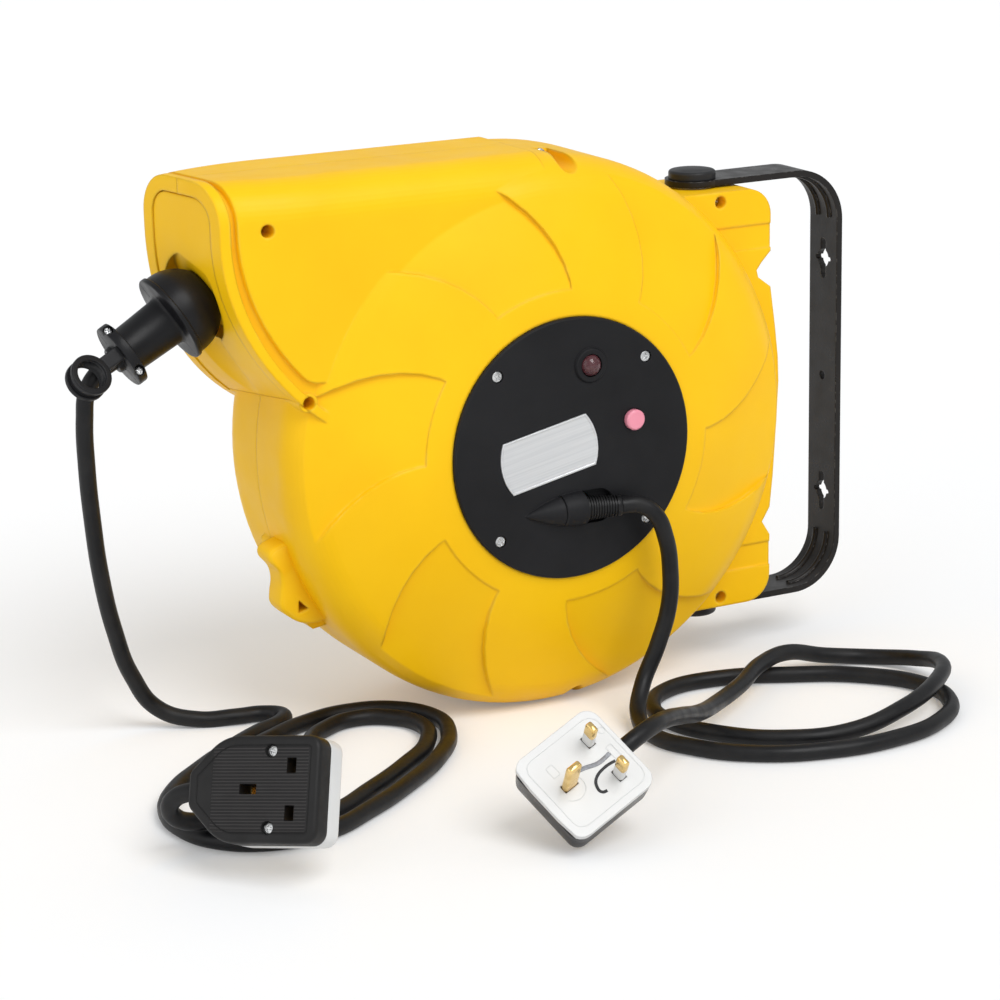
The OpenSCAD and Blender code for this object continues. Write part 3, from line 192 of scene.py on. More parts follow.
def clouds(finish, scale, detail=3.0, where=None, stretch=None):
    """Noise whose blobs are about 1 / scale metres across; stretch makes them long in one direction."""
    where = where or place_of(finish)
    if stretch:
        where = add(finish, "Mapping", {"Vector": where, "Scale": stretch}).outputs[0]
    return add(finish, "TexNoise", {"Vector": where, "Scale": scale, "Detail": detail}).outputs[0]


def remap(finish, value, low, high, to_low=0.0, to_high=1.0):
    wires = {"Value": value, "From Min": low, "From Max": high, "To Min": to_low, "To Max": to_high}
    return add(finish, "MapRange", wires).outputs[0]


def tinted(finish, mask, *stops):
    """A colour that follows a mask: stops are (place from 0 to 1, (red, green, blue))."""
    ramp = add(finish, "ValToRGB", {0: mask})
    points = ramp.color_ramp.elements
    while len(points) < len(stops):
        points.new(0.5)
    for point, (at, colour) in zip(points, stops):
        point.position, point.color = at, (*colour, 1)
    return ramp.outputs["Color"]


def mixed(finish, mask, first, second):
    """The first colour where the mask is 0 and the second where it is 1."""
    mix = add(finish, "Mix", data_type="RGBA")
    for socket, value in zip((mix.inputs[0], mix.inputs[6], mix.inputs[7]), (mask, first, second)):
        if isinstance(value, bpy.types.NodeSocket):
            finish.node_tree.links.new(value, socket)
        else:
            socket.default_value = value if isinstance(value, float) else (*value, 1)
    return mix.outputs[2]


def times(finish, a, b):
    return add(finish, "Math", {0: a, 1: b}, operation="MULTIPLY").outputs[0]


def softened(finish, radius):
    """The surface's direction with every sharp edge rounded to this radius, as a mould leaves it."""
    return add(finish, "Bevel", {"Radius": radius}, samples=6).outputs[0]


def edges_of(finish, rounded):
    """1 along sharp edges and 0 on open faces: there the rounded direction leaves the true one."""
    true = add(finish, "NewGeometry").outputs["True Normal"]
    along = add(finish, "VectorMath", {0: rounded, 1: true}, operation="DOT_PRODUCT").outputs["Value"]
    return remap(finish, along, 0.995, 0.86)


def raised(finish, height, depth, under=None):
    """Tilts the surface as if the height, from 0 to 1, stood up by that depth in metres."""
    wires = {"Height": height, "Distance": depth, "Strength": 1.0}
    if under:
        wires["Normal"] = under
    return add(finish, "Bump", wires).outputs[0]


def dress(finish, colour, roughness, direction):
    """Wires a finish's colour, roughness and surface direction to its shader."""
    shader = finish.node_tree.nodes["Principled BSDF"]
    for socket, value in (("Base Color", colour), ("Roughness", roughness), ("Normal", direction)):
        finish.node_tree.links.new(value, shader.inputs[socket])
    return finish


print("material steps ready")

# %% [markdown]
# ## Moulded plastic
# A moulded shell is not one flat colour. The pigment swirls faintly as the melt flows, the mould's
# spark-eroded skin leaves a grain finer than a hair, and hands and walls rub the edges paler. All
# moulded finishes share this recipe, so it is written once, and each picks its colour, gloss and grain.

# %% Moulded plastic
finishes = {}
sink_depth = 2.4e-4


def moulded(name, deep, bright, gloss=(0.34, 0.5), grain=1500.0, grain_depth=2e-5, rounding=0.0009,
            worn=None, coat=0.0, shine=0.5):
    finish = new_finish(name, coat=coat, shine=shine)
    swirl = clouds(finish, 16.0, 4.0)
    handling = clouds(finish, 70.0, 5.0)
    rounded = softened(finish, rounding)
    colour = tinted(finish, swirl, (0.3, deep), (0.7, bright))
    if worn:
        rub = times(finish, edges_of(finish, rounded), remap(finish, handling, 0.45, 0.7, 0.05, 0.7))
        colour = mixed(finish, rub, colour, worn)
    roughness = remap(finish, handling, 0.35, 0.7, *gloss)
    sink = raised(finish, clouds(finish, 22.0, 1.0), sink_depth, rounded)
    skin = raised(finish, clouds(finish, grain, 2.0), grain_depth, sink)
    finishes[name] = dress(finish, colour, roughness, skin)


moulded("yellow_shell", (0.955, 0.535, 0.0020), (1.0, 0.585, 0.0035), gloss=(0.38, 0.49), grain=1700,
        grain_depth=1.2e-5, rounding=0.0022, worn=(1.0, 0.68, 0.08), shine=0.2)
moulded("panel_black", (0.0065, 0.0065, 0.0075), (0.0115, 0.0115, 0.013), gloss=(0.46, 0.60), grain=1900,
        grain_depth=2.6e-5, rounding=0.0007, worn=(0.045, 0.045, 0.047), shine=0.2)
moulded("cap_black", (0.009, 0.009, 0.010), (0.016, 0.016, 0.018), gloss=(0.4, 0.55),
        worn=(0.05, 0.05, 0.05), shine=0.35)
moulded("stopper_black", (0.0042, 0.0042, 0.005), (0.0095, 0.0095, 0.011), gloss=(0.32, 0.5), grain=1300,
        grain_depth=3e-5, rounding=0.0008, worn=(0.045, 0.047, 0.05), shine=0.22)
moulded("plug_black", (0.008, 0.008, 0.010), (0.014, 0.014, 0.017), gloss=(0.24, 0.4), grain=1300,
        grain_depth=1.2e-5, rounding=0.0014, worn=(0.04, 0.04, 0.045), shine=0.3)
moulded("plug_white", (0.68, 0.68, 0.67), (0.74, 0.74, 0.73), gloss=(0.28, 0.4), grain=1300,
        grain_depth=8e-6, worn=(0.70, 0.69, 0.66))
moulded("socket_grey", (0.66, 0.67, 0.67), (0.78, 0.785, 0.78), gloss=(0.35, 0.5), grain=1200,
        rounding=0.0018, worn=(0.42, 0.42, 0.41))
moulded("nylon", (0.66, 0.63, 0.55), (0.76, 0.74, 0.67), gloss=(0.4, 0.55), grain=900, rounding=0.0006,
        worn=(0.5, 0.47, 0.4))
moulded("drum_plastic", (0.024, 0.026, 0.03), (0.04, 0.042, 0.047), gloss=(0.4, 0.6), grain=1100,
        rounding=0.001, worn=(0.1, 0.1, 0.11))
moulded("button_pink", (0.84, 0.27, 0.36), (0.93, 0.38, 0.47), gloss=(0.3, 0.42), grain_depth=1e-5,
        rounding=0.001, worn=(0.95, 0.62, 0.66), coat=0.2)
print(len(finishes), "moulded finishes")

# %% [markdown]
# ## Metals
# The screws are zinc plated, the bracket is powder coated over steel, the pins are brass and the name
# plate is rolled aluminium. Metal shows how it was worked: rolling and brushing leave long scratches in
# one direction, and plating pools into faint clouds. Long scratches are noise squeezed along one axis,
# which costs nothing and never repeats.

# %% Metals
scratch_depth, filed_edge = 4e-6, 0.0004


def worked_metal(name, deep, bright, gloss=(0.22, 0.4), stretch=(1, 1, 1), scratch=900.0, tarnish=None):
    finish = new_finish(name, metallic=1.0)
    patch = clouds(finish, 240.0, 4.0)
    lines = clouds(finish, scratch, 2.0, stretch=stretch)
    rounded = softened(finish, filed_edge)
    colour = tinted(finish, patch, (0.3, deep), (0.72, bright))
    if tarnish:
        dull = remap(finish, clouds(finish, 130.0, 5.0), 0.55, 0.72, 0.0, 0.65)
        colour = mixed(finish, dull, colour, tarnish)
    roughness = remap(finish, lines, 0.3, 0.7, *gloss)
    finishes[name] = dress(finish, colour, roughness, raised(finish, lines, scratch_depth, rounded))


worked_metal("zinc_steel", (0.50, 0.51, 0.52), (0.72, 0.72, 0.71), gloss=(0.2, 0.36),
             tarnish=(0.34, 0.34, 0.33))
worked_metal("dark_steel", (0.10, 0.105, 0.115), (0.19, 0.195, 0.205), gloss=(0.3, 0.5),
             stretch=(1, 0.1, 1), tarnish=(0.09, 0.06, 0.04))
worked_metal("bronze", (0.48, 0.29, 0.10), (0.64, 0.42, 0.17), gloss=(0.3, 0.45),
             tarnish=(0.26, 0.15, 0.06))
worked_metal("brass", (0.74, 0.50, 0.17), (0.90, 0.66, 0.29), gloss=(0.16, 0.3), scratch=700.0,
             tarnish=(0.46, 0.28, 0.09))


def powder_coat(name):
    """Dark brown powder paint: an orange-peel skin, and grey steel where an edge has been knocked."""
    finish = new_finish(name, shine=0.26)
    rounded = softened(finish, 0.0008)
    swirl = clouds(finish, 25.0, 4.0)
    colour = tinted(finish, swirl, (0.3, (0.0075, 0.006, 0.0052)), (0.7, (0.0125, 0.0102, 0.009)))
    chips = remap(finish, clouds(finish, 420.0, 4.0), 0.52, 0.6, 0.0, 0.55)
    knocked = times(finish, edges_of(finish, rounded), chips)
    colour = mixed(finish, knocked, colour, (0.22, 0.21, 0.20))
    roughness = remap(finish, clouds(finish, 90.0, 4.0), 0.35, 0.7, 0.27, 0.42)
    peel = raised(finish, clouds(finish, 620.0, 2.0), 4.5e-5, rounded)
    finishes[name] = dress(finish, colour, roughness, peel)


powder_coat("bracket_paint")
print(len(finishes), "finishes so far")

# %% [markdown]
# ## Brushed name plate, lamp glass and brush carbon
# The plate's scratches run along its length, and the plate is turned on the panel, so the noise is read
# in the plate's own axes with a Mapping node. The lamp's lens is red glass that is clear enough to show
# its dark holder. Carbon brushes are matt and speckled.

# %% Plate, lens and carbon
plate_turn = math.radians(11.6)
plate_finish = new_finish("plate_silver", metallic=0.75)
plate_axes = add(plate_finish, "Mapping", {"Vector": place_of(plate_finish),
                                           "Rotation": (0, plate_turn, 0)})
plate_lines = clouds(plate_finish, 420.0, 3.0, where=plate_axes.outputs[0], stretch=(0.03, 1, 2.2))
plate_rounded = softened(plate_finish, 0.0004)
plate_colour = tinted(plate_finish, plate_lines, (0.2, (0.60, 0.61, 0.62)), (0.8, (0.76, 0.765, 0.77)))
plate_rough = remap(plate_finish, plate_lines, 0.2, 0.8, 0.34, 0.52)
finishes["plate_silver"] = dress(plate_finish, plate_colour, plate_rough,
                                 raised(plate_finish, plate_lines, 6e-6, plate_rounded))

lens_finish = new_finish("lens_red", ior=1.49)
lens_shader = lens_finish.node_tree.nodes["Principled BSDF"]
lens_shader.inputs["Transmission Weight"].default_value = 0.82
lens_cloud = clouds(lens_finish, 500.0, 2.0)
finishes["lens_red"] = dress(
    lens_finish, tinted(lens_finish, lens_cloud, (0.3, (0.38, 0.09, 0.115)), (0.7, (0.52, 0.185, 0.21))),
    remap(lens_finish, lens_cloud, 0.3, 0.7, 0.03, 0.10),
    raised(lens_finish, clouds(lens_finish, 900.0, 1.0), 1e-5))

carbon_finish = new_finish("carbon")
carbon_specks = clouds(carbon_finish, 2500.0, 2.0)
carbon_colour = tinted(carbon_finish, carbon_specks,
                       (0.35, (0.018, 0.016, 0.015)), (0.65, (0.06, 0.055, 0.05)))
carbon_rough = remap(carbon_finish, carbon_specks, 0.3, 0.7, 0.55, 0.75)
carbon_skin = raised(carbon_finish, carbon_specks, 2e-5)
finishes["carbon"] = dress(carbon_finish, carbon_colour, carbon_rough, carbon_skin)
print("plate turned", round(math.degrees(plate_turn), 1), "degrees")

# %% [markdown]
# ## Rubber
# The cord's sheath is black rubber: matt where it was dusted with talc, a little glossy where hands
# have drawn it through the stopper, and never quite smooth, because the extruder leaves a fine skin.

# %% Cord rubber
rubber = new_finish("cord_rubber", shine=0.26)
rubber_dust = clouds(rubber, 60.0, 6.0)
rubber_colour = tinted(rubber, rubber_dust, (0.40, (0.0058, 0.0058, 0.0066)),
                       (0.72, (0.015, 0.0145, 0.0145)))
rubber_swell = raised(rubber, clouds(rubber, 160.0, 2.0), 1.2e-4)
rubber_skin = raised(rubber, clouds(rubber, 1100.0, 3.0), 3.5e-5, rubber_swell)
finishes["cord_rubber"] = dress(rubber, rubber_colour, remap(rubber, rubber_dust, 0.35, 0.7, 0.36, 0.56),
                                rubber_skin)

# %% [markdown]
# ## The trailing socket's ribbed face
# The socket's front is moulded with fine grip lines that run along its length, and stop short of a
# plain border. The lines are a wave read in the socket's own axes. A Mapping node of the Texture kind
# undoes the socket's place and turn, which saves a second set of numbers. The same wave also paints
# light into the colour: painted shade in the grooves and a painted highlight on the crests.

# %% Ribbed rubber
socket_place = Vector((-0.4416, -0.1974, -0.1023))
socket_turn = Euler([math.radians(a) for a in (64, -7, -50)])
rib_pitch = 0.00155
field_side, field_end, field_start, fade = 0.0199, 0.0197, -0.0300, 0.0002
ribbed = new_finish("socket_rubber", shine=0.3)
socket_axes = add(ribbed, "Mapping", {"Vector": place_of(ribbed), "Location": socket_place,
                                      "Rotation": socket_turn}, vector_type="TEXTURE").outputs[0]
split = add(ribbed, "SeparateXYZ", {0: socket_axes})
across = times(ribbed, split.outputs["Y"], 2 * math.pi / rib_pitch)
wave = add(ribbed, "Math", {0: across}, operation="SINE").outputs[0]
far_across = add(ribbed, "Math", {0: split.outputs["Y"]}, operation="ABSOLUTE").outputs[0]
inside_end = remap(ribbed, split.outputs["X"], field_end + fade, field_end - fade)
inside_start = remap(ribbed, split.outputs["X"], field_start - fade, field_start + fade)
inside_sides = remap(ribbed, far_across, field_side + fade, field_side - fade)
field = times(ribbed, inside_sides, times(ribbed, inside_end, inside_start))
facing_out = remap(ribbed, split.outputs["Z"], -0.0004, -0.0002)
# ribs is both the relief and the mask of painted light: the colour is painted darker in the grooves and
# lighter on the crests
ribs = times(ribbed, remap(ribbed, wave, -0.5, 0.6), times(ribbed, field, facing_out))
rib_colour_with_painted_shade = mixed(ribbed, ribs, (0.0085, 0.008, 0.008), (0.032, 0.029, 0.029))
rib_rough = remap(ribbed, clouds(ribbed, 90.0, 4.0), 0.35, 0.7, 0.42, 0.6)
rib_round = softened(ribbed, 0.0012)
finishes["socket_rubber"] = dress(
    ribbed, rib_colour_with_painted_shade, rib_rough,
    raised(ribbed, clouds(ribbed, 1400.0, 2.0), 2e-5, raised(ribbed, ribs, 3e-4, rib_round)))
print("grip lines every", 1000 * rib_pitch, "mm")

# %% [markdown]
# ## Dressing the solids
# A rigid solid whose shape is right needs no second mesh. Its object keeps its place and its mesh, and
# only its material slots are filled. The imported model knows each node's slot, so one loop does it.

# %% Solids take their finishes
for node, solid in frame["nodes"].items():
    solid.data.materials.clear()
    solid.data.materials.append(finishes[slot_of_node[node]])
print("dressed", len(frame["nodes"]), "solids")

# %% [markdown]
# ## Cords
# A rubber cord is one long curve with a round section. A poly line would show corners, so the route's
# points become Bezier knots with automatic handles, which bend smoothly through every point. The route
# points are the ones that the solid tubes follow, in metres. F is the height of a cord that lies on the
# floor.

# %% Cord maker
cord_width = 0.009


def settle(piece, node):
    """Rides a piece on the body of the node that it stands for, and hides that node."""
    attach(piece, body_of_node[node])
    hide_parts(node)
    return piece


def evaluated_mesh(piece):
    """The mesh of a curve, or of a mesh with its modifiers applied."""
    return bpy.data.meshes.new_from_object(piece.evaluated_get(bpy.context.evaluated_depsgraph_get()))


def rubber_cord(name, route, node, smooth=12, roundness=6, as_mesh=False):
    curve = bpy.data.curves.new(name, "CURVE")
    curve.dimensions, curve.resolution_u = "3D", smooth
    curve.bevel_depth, curve.bevel_resolution, curve.use_fill_caps = cord_width / 2, roundness, True
    line = curve.splines.new("BEZIER")
    line.bezier_points.add(len(route) - 1)
    for knot, place in zip(line.bezier_points, route):
        knot.co = place
        knot.handle_left_type = knot.handle_right_type = "AUTO"
    curve.materials.append(finishes["cord_rubber"])
    piece = in_scene(name, curve)
    if as_mesh:
        tube = evaluated_mesh(piece)
        bpy.data.objects.remove(piece)
        piece = in_scene(name, tube)
    return settle(piece, node)


def length_of(route):
    return sum((Vector(b) - Vector(a)).length for a, b in zip(route, route[1:]))


F = floor_height + cord_width / 2
supply_route = [
    (-0.1819, -0.0777, -0.0325), (-0.172, -0.0802, -0.033), (-0.164, -0.083, -0.039),
    (-0.159, -0.0845, -0.051), (-0.156, -0.0845, -0.070), (-0.157, -0.0845, -0.090),
    (-0.164, -0.085, -0.110), (-0.176, -0.088, -0.131), (-0.186, -0.101, -0.142),
    (-0.190, -0.122, F), (-0.181, -0.150, F), (-0.159, -0.174, F), (-0.125, -0.189, F),
    (-0.085, -0.192, F), (-0.050, -0.182, F), (-0.026, -0.159, F), (-0.022, -0.129, F),
    (-0.042, -0.098, F), (-0.077, -0.076, F), (-0.112, -0.062, F), (-0.146, -0.064, F),
    (-0.167, -0.084, F), (-0.171, -0.110, F), (-0.158, -0.140, F), (-0.134, -0.162, F),
    (-0.102, -0.174, -0.144), (-0.065, -0.170, -0.139), (-0.030, -0.152, -0.135),
    (-0.009, -0.126, -0.136), (-0.006, -0.098, -0.142), (-0.020, -0.074, F),
    (-0.044, -0.065, -0.143), (-0.070, -0.068, -0.136), (-0.096, -0.080, -0.135),
    (-0.122, -0.101, -0.136), (-0.149, -0.122, -0.1345), (-0.178, -0.150, -0.127),
    (-0.206, -0.177, -0.1155), (-0.230, -0.201, -0.106), (-0.247, -0.215, -0.103),
    (-0.2565, -0.2185, -0.1052), (-0.2654, -0.2193, -0.1096),
]
output_route = [
    (-0.4327, 0, 0.0615), (-0.441, 0, 0.0565), (-0.447, 0, 0.048), (-0.449, 0.0005, 0.034),
    (-0.448, 0.004, 0.008), (-0.444, 0.011, -0.022), (-0.438, 0.019, -0.056), (-0.429, 0.027, -0.090),
    (-0.419, 0.032, -0.117), (-0.404, 0.033, -0.139), (-0.386, 0.025, F), (-0.366, 0.018, F),
    (-0.352, 0.015, F), (-0.344, 0.007, F), (-0.349, -0.002, F), (-0.366, -0.011, F),
    (-0.391, -0.028, F), (-0.416, -0.048, F), (-0.438, -0.069, F), (-0.452, -0.093, F),
    (-0.455, -0.118, F), (-0.446, -0.143, F), (-0.425, -0.158, F), (-0.396, -0.159, F),
    (-0.364, -0.143, F), (-0.332, -0.121, F), (-0.302, -0.095, F), (-0.281, -0.066, F),
    (-0.275, -0.039, F), (-0.287, -0.016, F), (-0.313, -0.006, F), (-0.342, -0.0115, F),
    (-0.363, -0.022, F), (-0.385, -0.036, F), (-0.401, -0.054, F), (-0.404, -0.074, F),
    (-0.393, -0.091, F), (-0.376, -0.091, F), (-0.364, -0.075, F), (-0.356, -0.054, F),
    (-0.347, -0.036, F), (-0.334, -0.025, F), (-0.315, -0.018, F), (-0.296, -0.026, F),
    (-0.287, -0.046, F), (-0.297, -0.072, F), (-0.323, -0.097, F), (-0.354, -0.120, F),
    (-0.382, -0.138, F), (-0.406, -0.146, -0.143), (-0.427, -0.143, -0.138),
    (-0.444, -0.1395, -0.1358), (-0.457, -0.139, -0.135), (-0.466, -0.1405, -0.1305),
    (-0.470, -0.1435, -0.1235), (-0.4685, -0.148, -0.1175), (-0.465, -0.1528, -0.1143),
    (-0.4604, -0.1583, -0.1128),
]
lead_route = [
    (-0.432, 0, 0.0619), (-0.404, 0, 0.0781), (-0.375, 0, 0.0944), (-0.362, 0, 0.0996),
    (-0.345, 0, 0.1042), (-0.300, 0, 0.1105), (-0.240, 0, 0.1176),
]
supply_cord = rubber_cord("supply_lead", supply_route, "supply_cord")
output_cord = rubber_cord("output_lead", output_route, "output_cord")
rubber_cord("inner_run", lead_route, "inner_lead")
print("supply", round(length_of(supply_route), 3), "m, output", round(length_of(output_route), 3), "m")

# %% [markdown]
# ## The wound cord on the drum
# Behind the shell the rest of the cord lies in layers on the drum. Each layer is a helix that walks to
# one flange, climbs by less than a cord's width, because a turn drops into the groove below it, and
# walks back. One curve of many knots makes all the turns, where a torus per turn would never join. It
# is kept as a mesh, because a mesh's box is exact, and this curve's came out a metre too wide. The
# reel's axis runs at reel_x, in millimetres from the wall.

# %% Winding
reel_x = -206
drum_centre = Vector((reel_x / 1000, 0, 0))
first_turn, layer_rise, layers, turns_per_layer, knots_per_turn = 0.06465, 0.00857, 6, 4.5, 16
half_walk, turn_over_flange = 0.0207, 0.25
turn_pitch = 2 * half_walk / turns_per_layer
winding_route = []
for layer in range(layers):
    side = 1 if layer % 2 == 0 else -1
    radius = first_turn + layer * layer_rise
    for step in range(int(turns_per_layer * knots_per_turn) + 1):
        turn = 2 * math.pi * (layer * (turns_per_layer + turn_over_flange) + step / knots_per_turn)
        walk = side * (half_walk - turn_pitch * step / knots_per_turn)
        winding_route.append(drum_centre + Vector((radius * math.cos(turn), walk, radius * math.sin(turn))))
rubber_cord("wound_cord", winding_route, "cable_winding", smooth=4, roundness=3, as_mesh=True)
print("wound on the drum:", round(length_of(winding_route), 1), "m in", layers, "layers")

# %% [markdown]
# ## From points to pieces
# A piece starts as a bmesh, because its points can then be placed by formula. Sizes inside it are in
# millimetres, as on a drawing. What is cut out of it is cut once and for all with a Boolean modifier,
# so that no hidden cutter stays in the scene.

# %% Piece makers
quarter_turn = Matrix.Rotation(math.radians(90), 4, "X")
smooth_below = math.radians(38)


def mm(*values):
    return Vector(values) / 1000


def shift(x, y, z):
    return Matrix.Translation(mm(x, y, z))


def facing_front(x, depth, z):
    """A place on the reel, measured from its axis in millimetres, with +Z of the piece toward the front."""
    return shift(reel_x + x, -depth, z) @ quarter_turn


def to_object(name, shape, slot, cuts=None):
    """Makes a piece of a bmesh, less its cuts, with smooth faces that are split at sharp angles."""
    bmesh.ops.recalc_face_normals(shape, faces=shape.faces)
    mesh = bpy.data.meshes.new(name)
    shape.to_mesh(mesh)
    shape.free()
    mesh.materials.append(finishes[slot])
    piece = in_scene(name, mesh)
    if cuts is not None:
        cutter = to_object("cutter", cuts, slot)
        step = piece.modifiers.new("cut", "BOOLEAN")
        step.operation, step.solver, step.use_self, step.object = "DIFFERENCE", "EXACT", True, cutter
        piece.data = evaluated_mesh(piece)
        piece.modifiers.clear()
        bpy.data.objects.remove(cutter)
    piece.data.shade_smooth()
    piece.data.set_sharp_from_angle(angle=smooth_below)
    return piece


def join_loops(shape, loops, open_start=False):
    """Joins loops of points, each to the next, and closes the ends."""
    for low, high in zip(loops, loops[1:]):
        for i in range(len(low)):
            n = (i + 1) % len(low)
            shape.faces.new((low[i], low[n], high[n], high[i]))
    shape.faces.new(loops[-1])
    if not open_start:
        shape.faces.new(list(reversed(loops[0])))


def stand_in(name, shape, node, cuts=None, slot=None):
    """Makes a piece and puts it in place of a node, in the node's finish if none is named."""
    return settle(to_object(name, shape, slot or slot_of_node[node], cuts), node)


def add_to_housing(name, shape, slot, cuts=None):
    """Makes a piece that stands for no solid and rides on the housing."""
    piece = to_object(name, shape, slot, cuts)
    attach(piece, "housing")
    return piece


print("piece makers ready")

# %% [markdown]
# ## Screws with cross recesses
# A pan-head screw reads as a screw only by its recess. The head could be cut with a boolean, but a
# lathed grid whose points simply sink inside a cross is lighter and cannot fail. The walls of the
# cross are as steep as the grid is fine.

# %% Screw maker
arm_width, arm_length, recess_depth = 0.17, 0.60, 0.52


def add_cross_screw(shape, place, cross_turn, radius, head, shank_radius, shank, rings=15, sectors=56):
    """Adds a screw to a bmesh, in metres: place maps its own axis, +Z out of the head, into the scene."""
    angles = [2 * math.pi * k / sectors for k in range(sectors)]

    def sunk(r, a):
        """How far the recess lies below the head's crown at one point of the grid."""
        u, v = abs(r * math.cos(a)), abs(r * math.sin(a))
        arm = min(u, v) < arm_width * radius and max(u, v) < arm_length * radius
        return recess_depth * head * (1 - 0.5 * r / radius) if arm else 0.0

    def row(r, height):
        return [shape.verts.new(place @ Vector((r * math.cos(a), r * math.sin(a), height(a))))
                for a in angles]

    rows = []
    for i in range(1, rings + 1):
        r = 0.93 * radius * i / rings
        crown = head * (1 - 0.30 * (r / radius) ** 2.2)
        rows.append(row(r, lambda a: crown - sunk(r, a - math.radians(cross_turn))))
    middle = shape.verts.new(place @ Vector((0, 0, head - recess_depth * head)))
    for r, z in ((0.99 * radius, 0.62 * head), (radius, 0.5 * head), (radius, 0), (shank_radius, 0),
                 (shank_radius, -shank)):
        rows.append(row(r, lambda a: z))
    for k in range(sectors):
        shape.faces.new((middle, rows[0][k], rows[0][(k + 1) % sectors]))
    join_loops(shape, rows, open_start=True)


panel_face, panel_screw_sunk = 70.5, 2
panel_screw_pitch = 62.4
panel_screws = bmesh.new()
for angle, cross_turn in ((45, 12), (135, 55), (225, 30), (315, 71)):
    a = math.radians(angle)
    seat = facing_front(panel_screw_pitch * math.cos(a), panel_face - panel_screw_sunk,
                        panel_screw_pitch * math.sin(a))
    add_cross_screw(panel_screws, seat, cross_turn, radius=0.0031, head=0.0018,
                    shank_radius=0.0015, shank=0.011)
stand_in("panel_cross_screws", panel_screws, "panel_screws")
print("four panel screws on a", panel_screw_pitch, "mm pitch")

# %% [markdown]
# ## More screws
# The housing's screws sit deep in their holes and show only as a glint; the stopper's two clamp it
# round the cord, and the socket's two hold its halves together. They are the same screw in other sizes.

# %% Housing, stopper and socket screws
housing_screws = bmesh.new()
past_the_seam, block_shank = 14, 8.4
housing_seats = [(-158.3, 128.0, 30), (-140.1, 38.1, 30), (15, 146, 10), (15, -146, 10),
                 (117.7, 112, 18), (117.7, -112, 18)]
for i, (x, z, seat_depth) in enumerate(housing_seats):
    shank = block_shank if seat_depth == 18 else seat_depth + past_the_seam
    add_cross_screw(housing_screws, facing_front(x, seat_depth, z), 17 * i, radius=0.0031, head=0.0024,
                    shank_radius=0.0019, shank=0.001 * shank)
stand_in("housing_cross_screws", housing_screws, "shell_screws")

stopper_axes = (shift(reel_x - 195.5, 0, 79.5) @ Matrix.Rotation(math.radians(-120), 4, "Y")
                @ Matrix.Rotation(math.radians(28), 4, "Z"))
clamp_middle, clamp_offset, clamp_seat = 29.75, 12.6, 7
stopper_screws = bmesh.new()
for side in (-1, 1):
    seat = stopper_axes @ shift(side * clamp_offset, -clamp_seat, clamp_middle) @ quarter_turn
    add_cross_screw(stopper_screws, seat, 40 * side, radius=0.0023, head=0.0018,
                    shank_radius=0.0012, shank=0.013)
stand_in("stopper_cross_screws", stopper_screws, "stopper_screws")

on_socket = Matrix.Translation(socket_place) @ socket_turn.to_matrix().to_4x4()
socket_screw_y = 18
socket_screws = bmesh.new()
for side in (-1, 1):
    seat = on_socket @ shift(0, socket_screw_y * side, -3.5)
    add_cross_screw(socket_screws, seat, 30 + 40 * side, radius=0.0029, head=0.0018,
                    shank_radius=0.0015, shank=0.0135)
socket_screw_piece = stand_in("socket_cross_screws", socket_screws, "socket_screws")
print("screws: 6 in the housing, 2 in the stopper, 2 in the socket")

# %% [markdown]
# ## Name plate
# The plate is a stamped strip with rounded ends and a raised hem. It is left bare. Its outline is a
# rectangle cut by a circle, and each step of the hem is the same outline drawn a little smaller and
# joined to the one before, which is how a profile is stamped.

# %% Name plate
plate_height, plate_round, plate_sunk = 29.0, 29.0, 0.5
plate_middle = facing_front(-14.5, panel_face - plate_sunk, -1) @ Matrix.Rotation(plate_turn, 4, "Z")


def plate_outline(inset, steps=14):
    """The rectangle's long sides, joined by the arcs of the circle that cuts its ends."""
    r, h = plate_round - inset, plate_height / 2 - inset
    corner = math.asin(h / r)
    starts = (-corner, math.pi - corner)
    angles = [start + 2 * corner * i / steps for start in starts for i in range(steps + 1)]
    return [(r * math.cos(a), r * math.sin(a)) for a in angles]


def stepped(shape, place, outline, profile):
    """Joins copies of an outline, one for each (inset, height) of the profile, in mm."""
    join_loops(shape, [[shape.verts.new(place @ mm(x, y, height)) for x, y in outline(inset)]
                       for inset, height in profile])


plate_shape = bmesh.new()
plate_hem = [(0, 0), (0, 0.75), (0.12, 1.0), (0.35, 1.1), (0.95, 1.1), (1.15, 1.0), (1.3, 0.8), (1.5, 0.78)]
stepped(plate_shape, plate_middle, plate_outline, plate_hem)
stand_in("bare_name_plate", plate_shape, "name_plate")
print("plate", 2 * plate_round, "x", plate_height, "mm")

# %% [markdown]
# ## Lathes, blocks and swept sleeves
# Most moulded parts are one of three forms: a profile turned about an axis, a rounded outline that is
# stepped inward, or rings strung along a bent line. A Screw or Bevel modifier could make each of them,
# but a few lines of bmesh give exact sizes and closed solids, and they can be joined in one mesh.

# %% Form makers


def lathe(shape, place, profile, first=0, last=360, sectors=64, aside=0.0):
    """Turns a closed profile of (radius, height) in mm. Part of a turn gets flat ends, moved aside in y."""
    whole = last - first == 360
    angles = [math.radians(first + (last - first) * k / sectors) for k in range(sectors + (not whole))]
    slices = [[shape.verts.new(place @ mm(r * math.cos(a), r * math.sin(a) + aside, z)) for r, z in profile]
              for a in angles]
    pairs = list(zip(slices, slices[1:])) + ([(slices[-1], slices[0])] if whole else [])
    for a, b in pairs:
        for i in range(len(profile)):
            n = (i + 1) % len(profile)
            shape.faces.new((a[i], b[i], b[n], a[n]))
    if not whole:
        shape.faces.new(slices[0])
        shape.faces.new(list(reversed(slices[-1])))


def arc_points(middle, radius, first, last, steps):
    angles = [math.radians(first + (last - first) * i / steps) for i in range(steps + 1)]
    return [(middle[0] + radius * math.cos(a), middle[1] + radius * math.sin(a)) for a in angles]


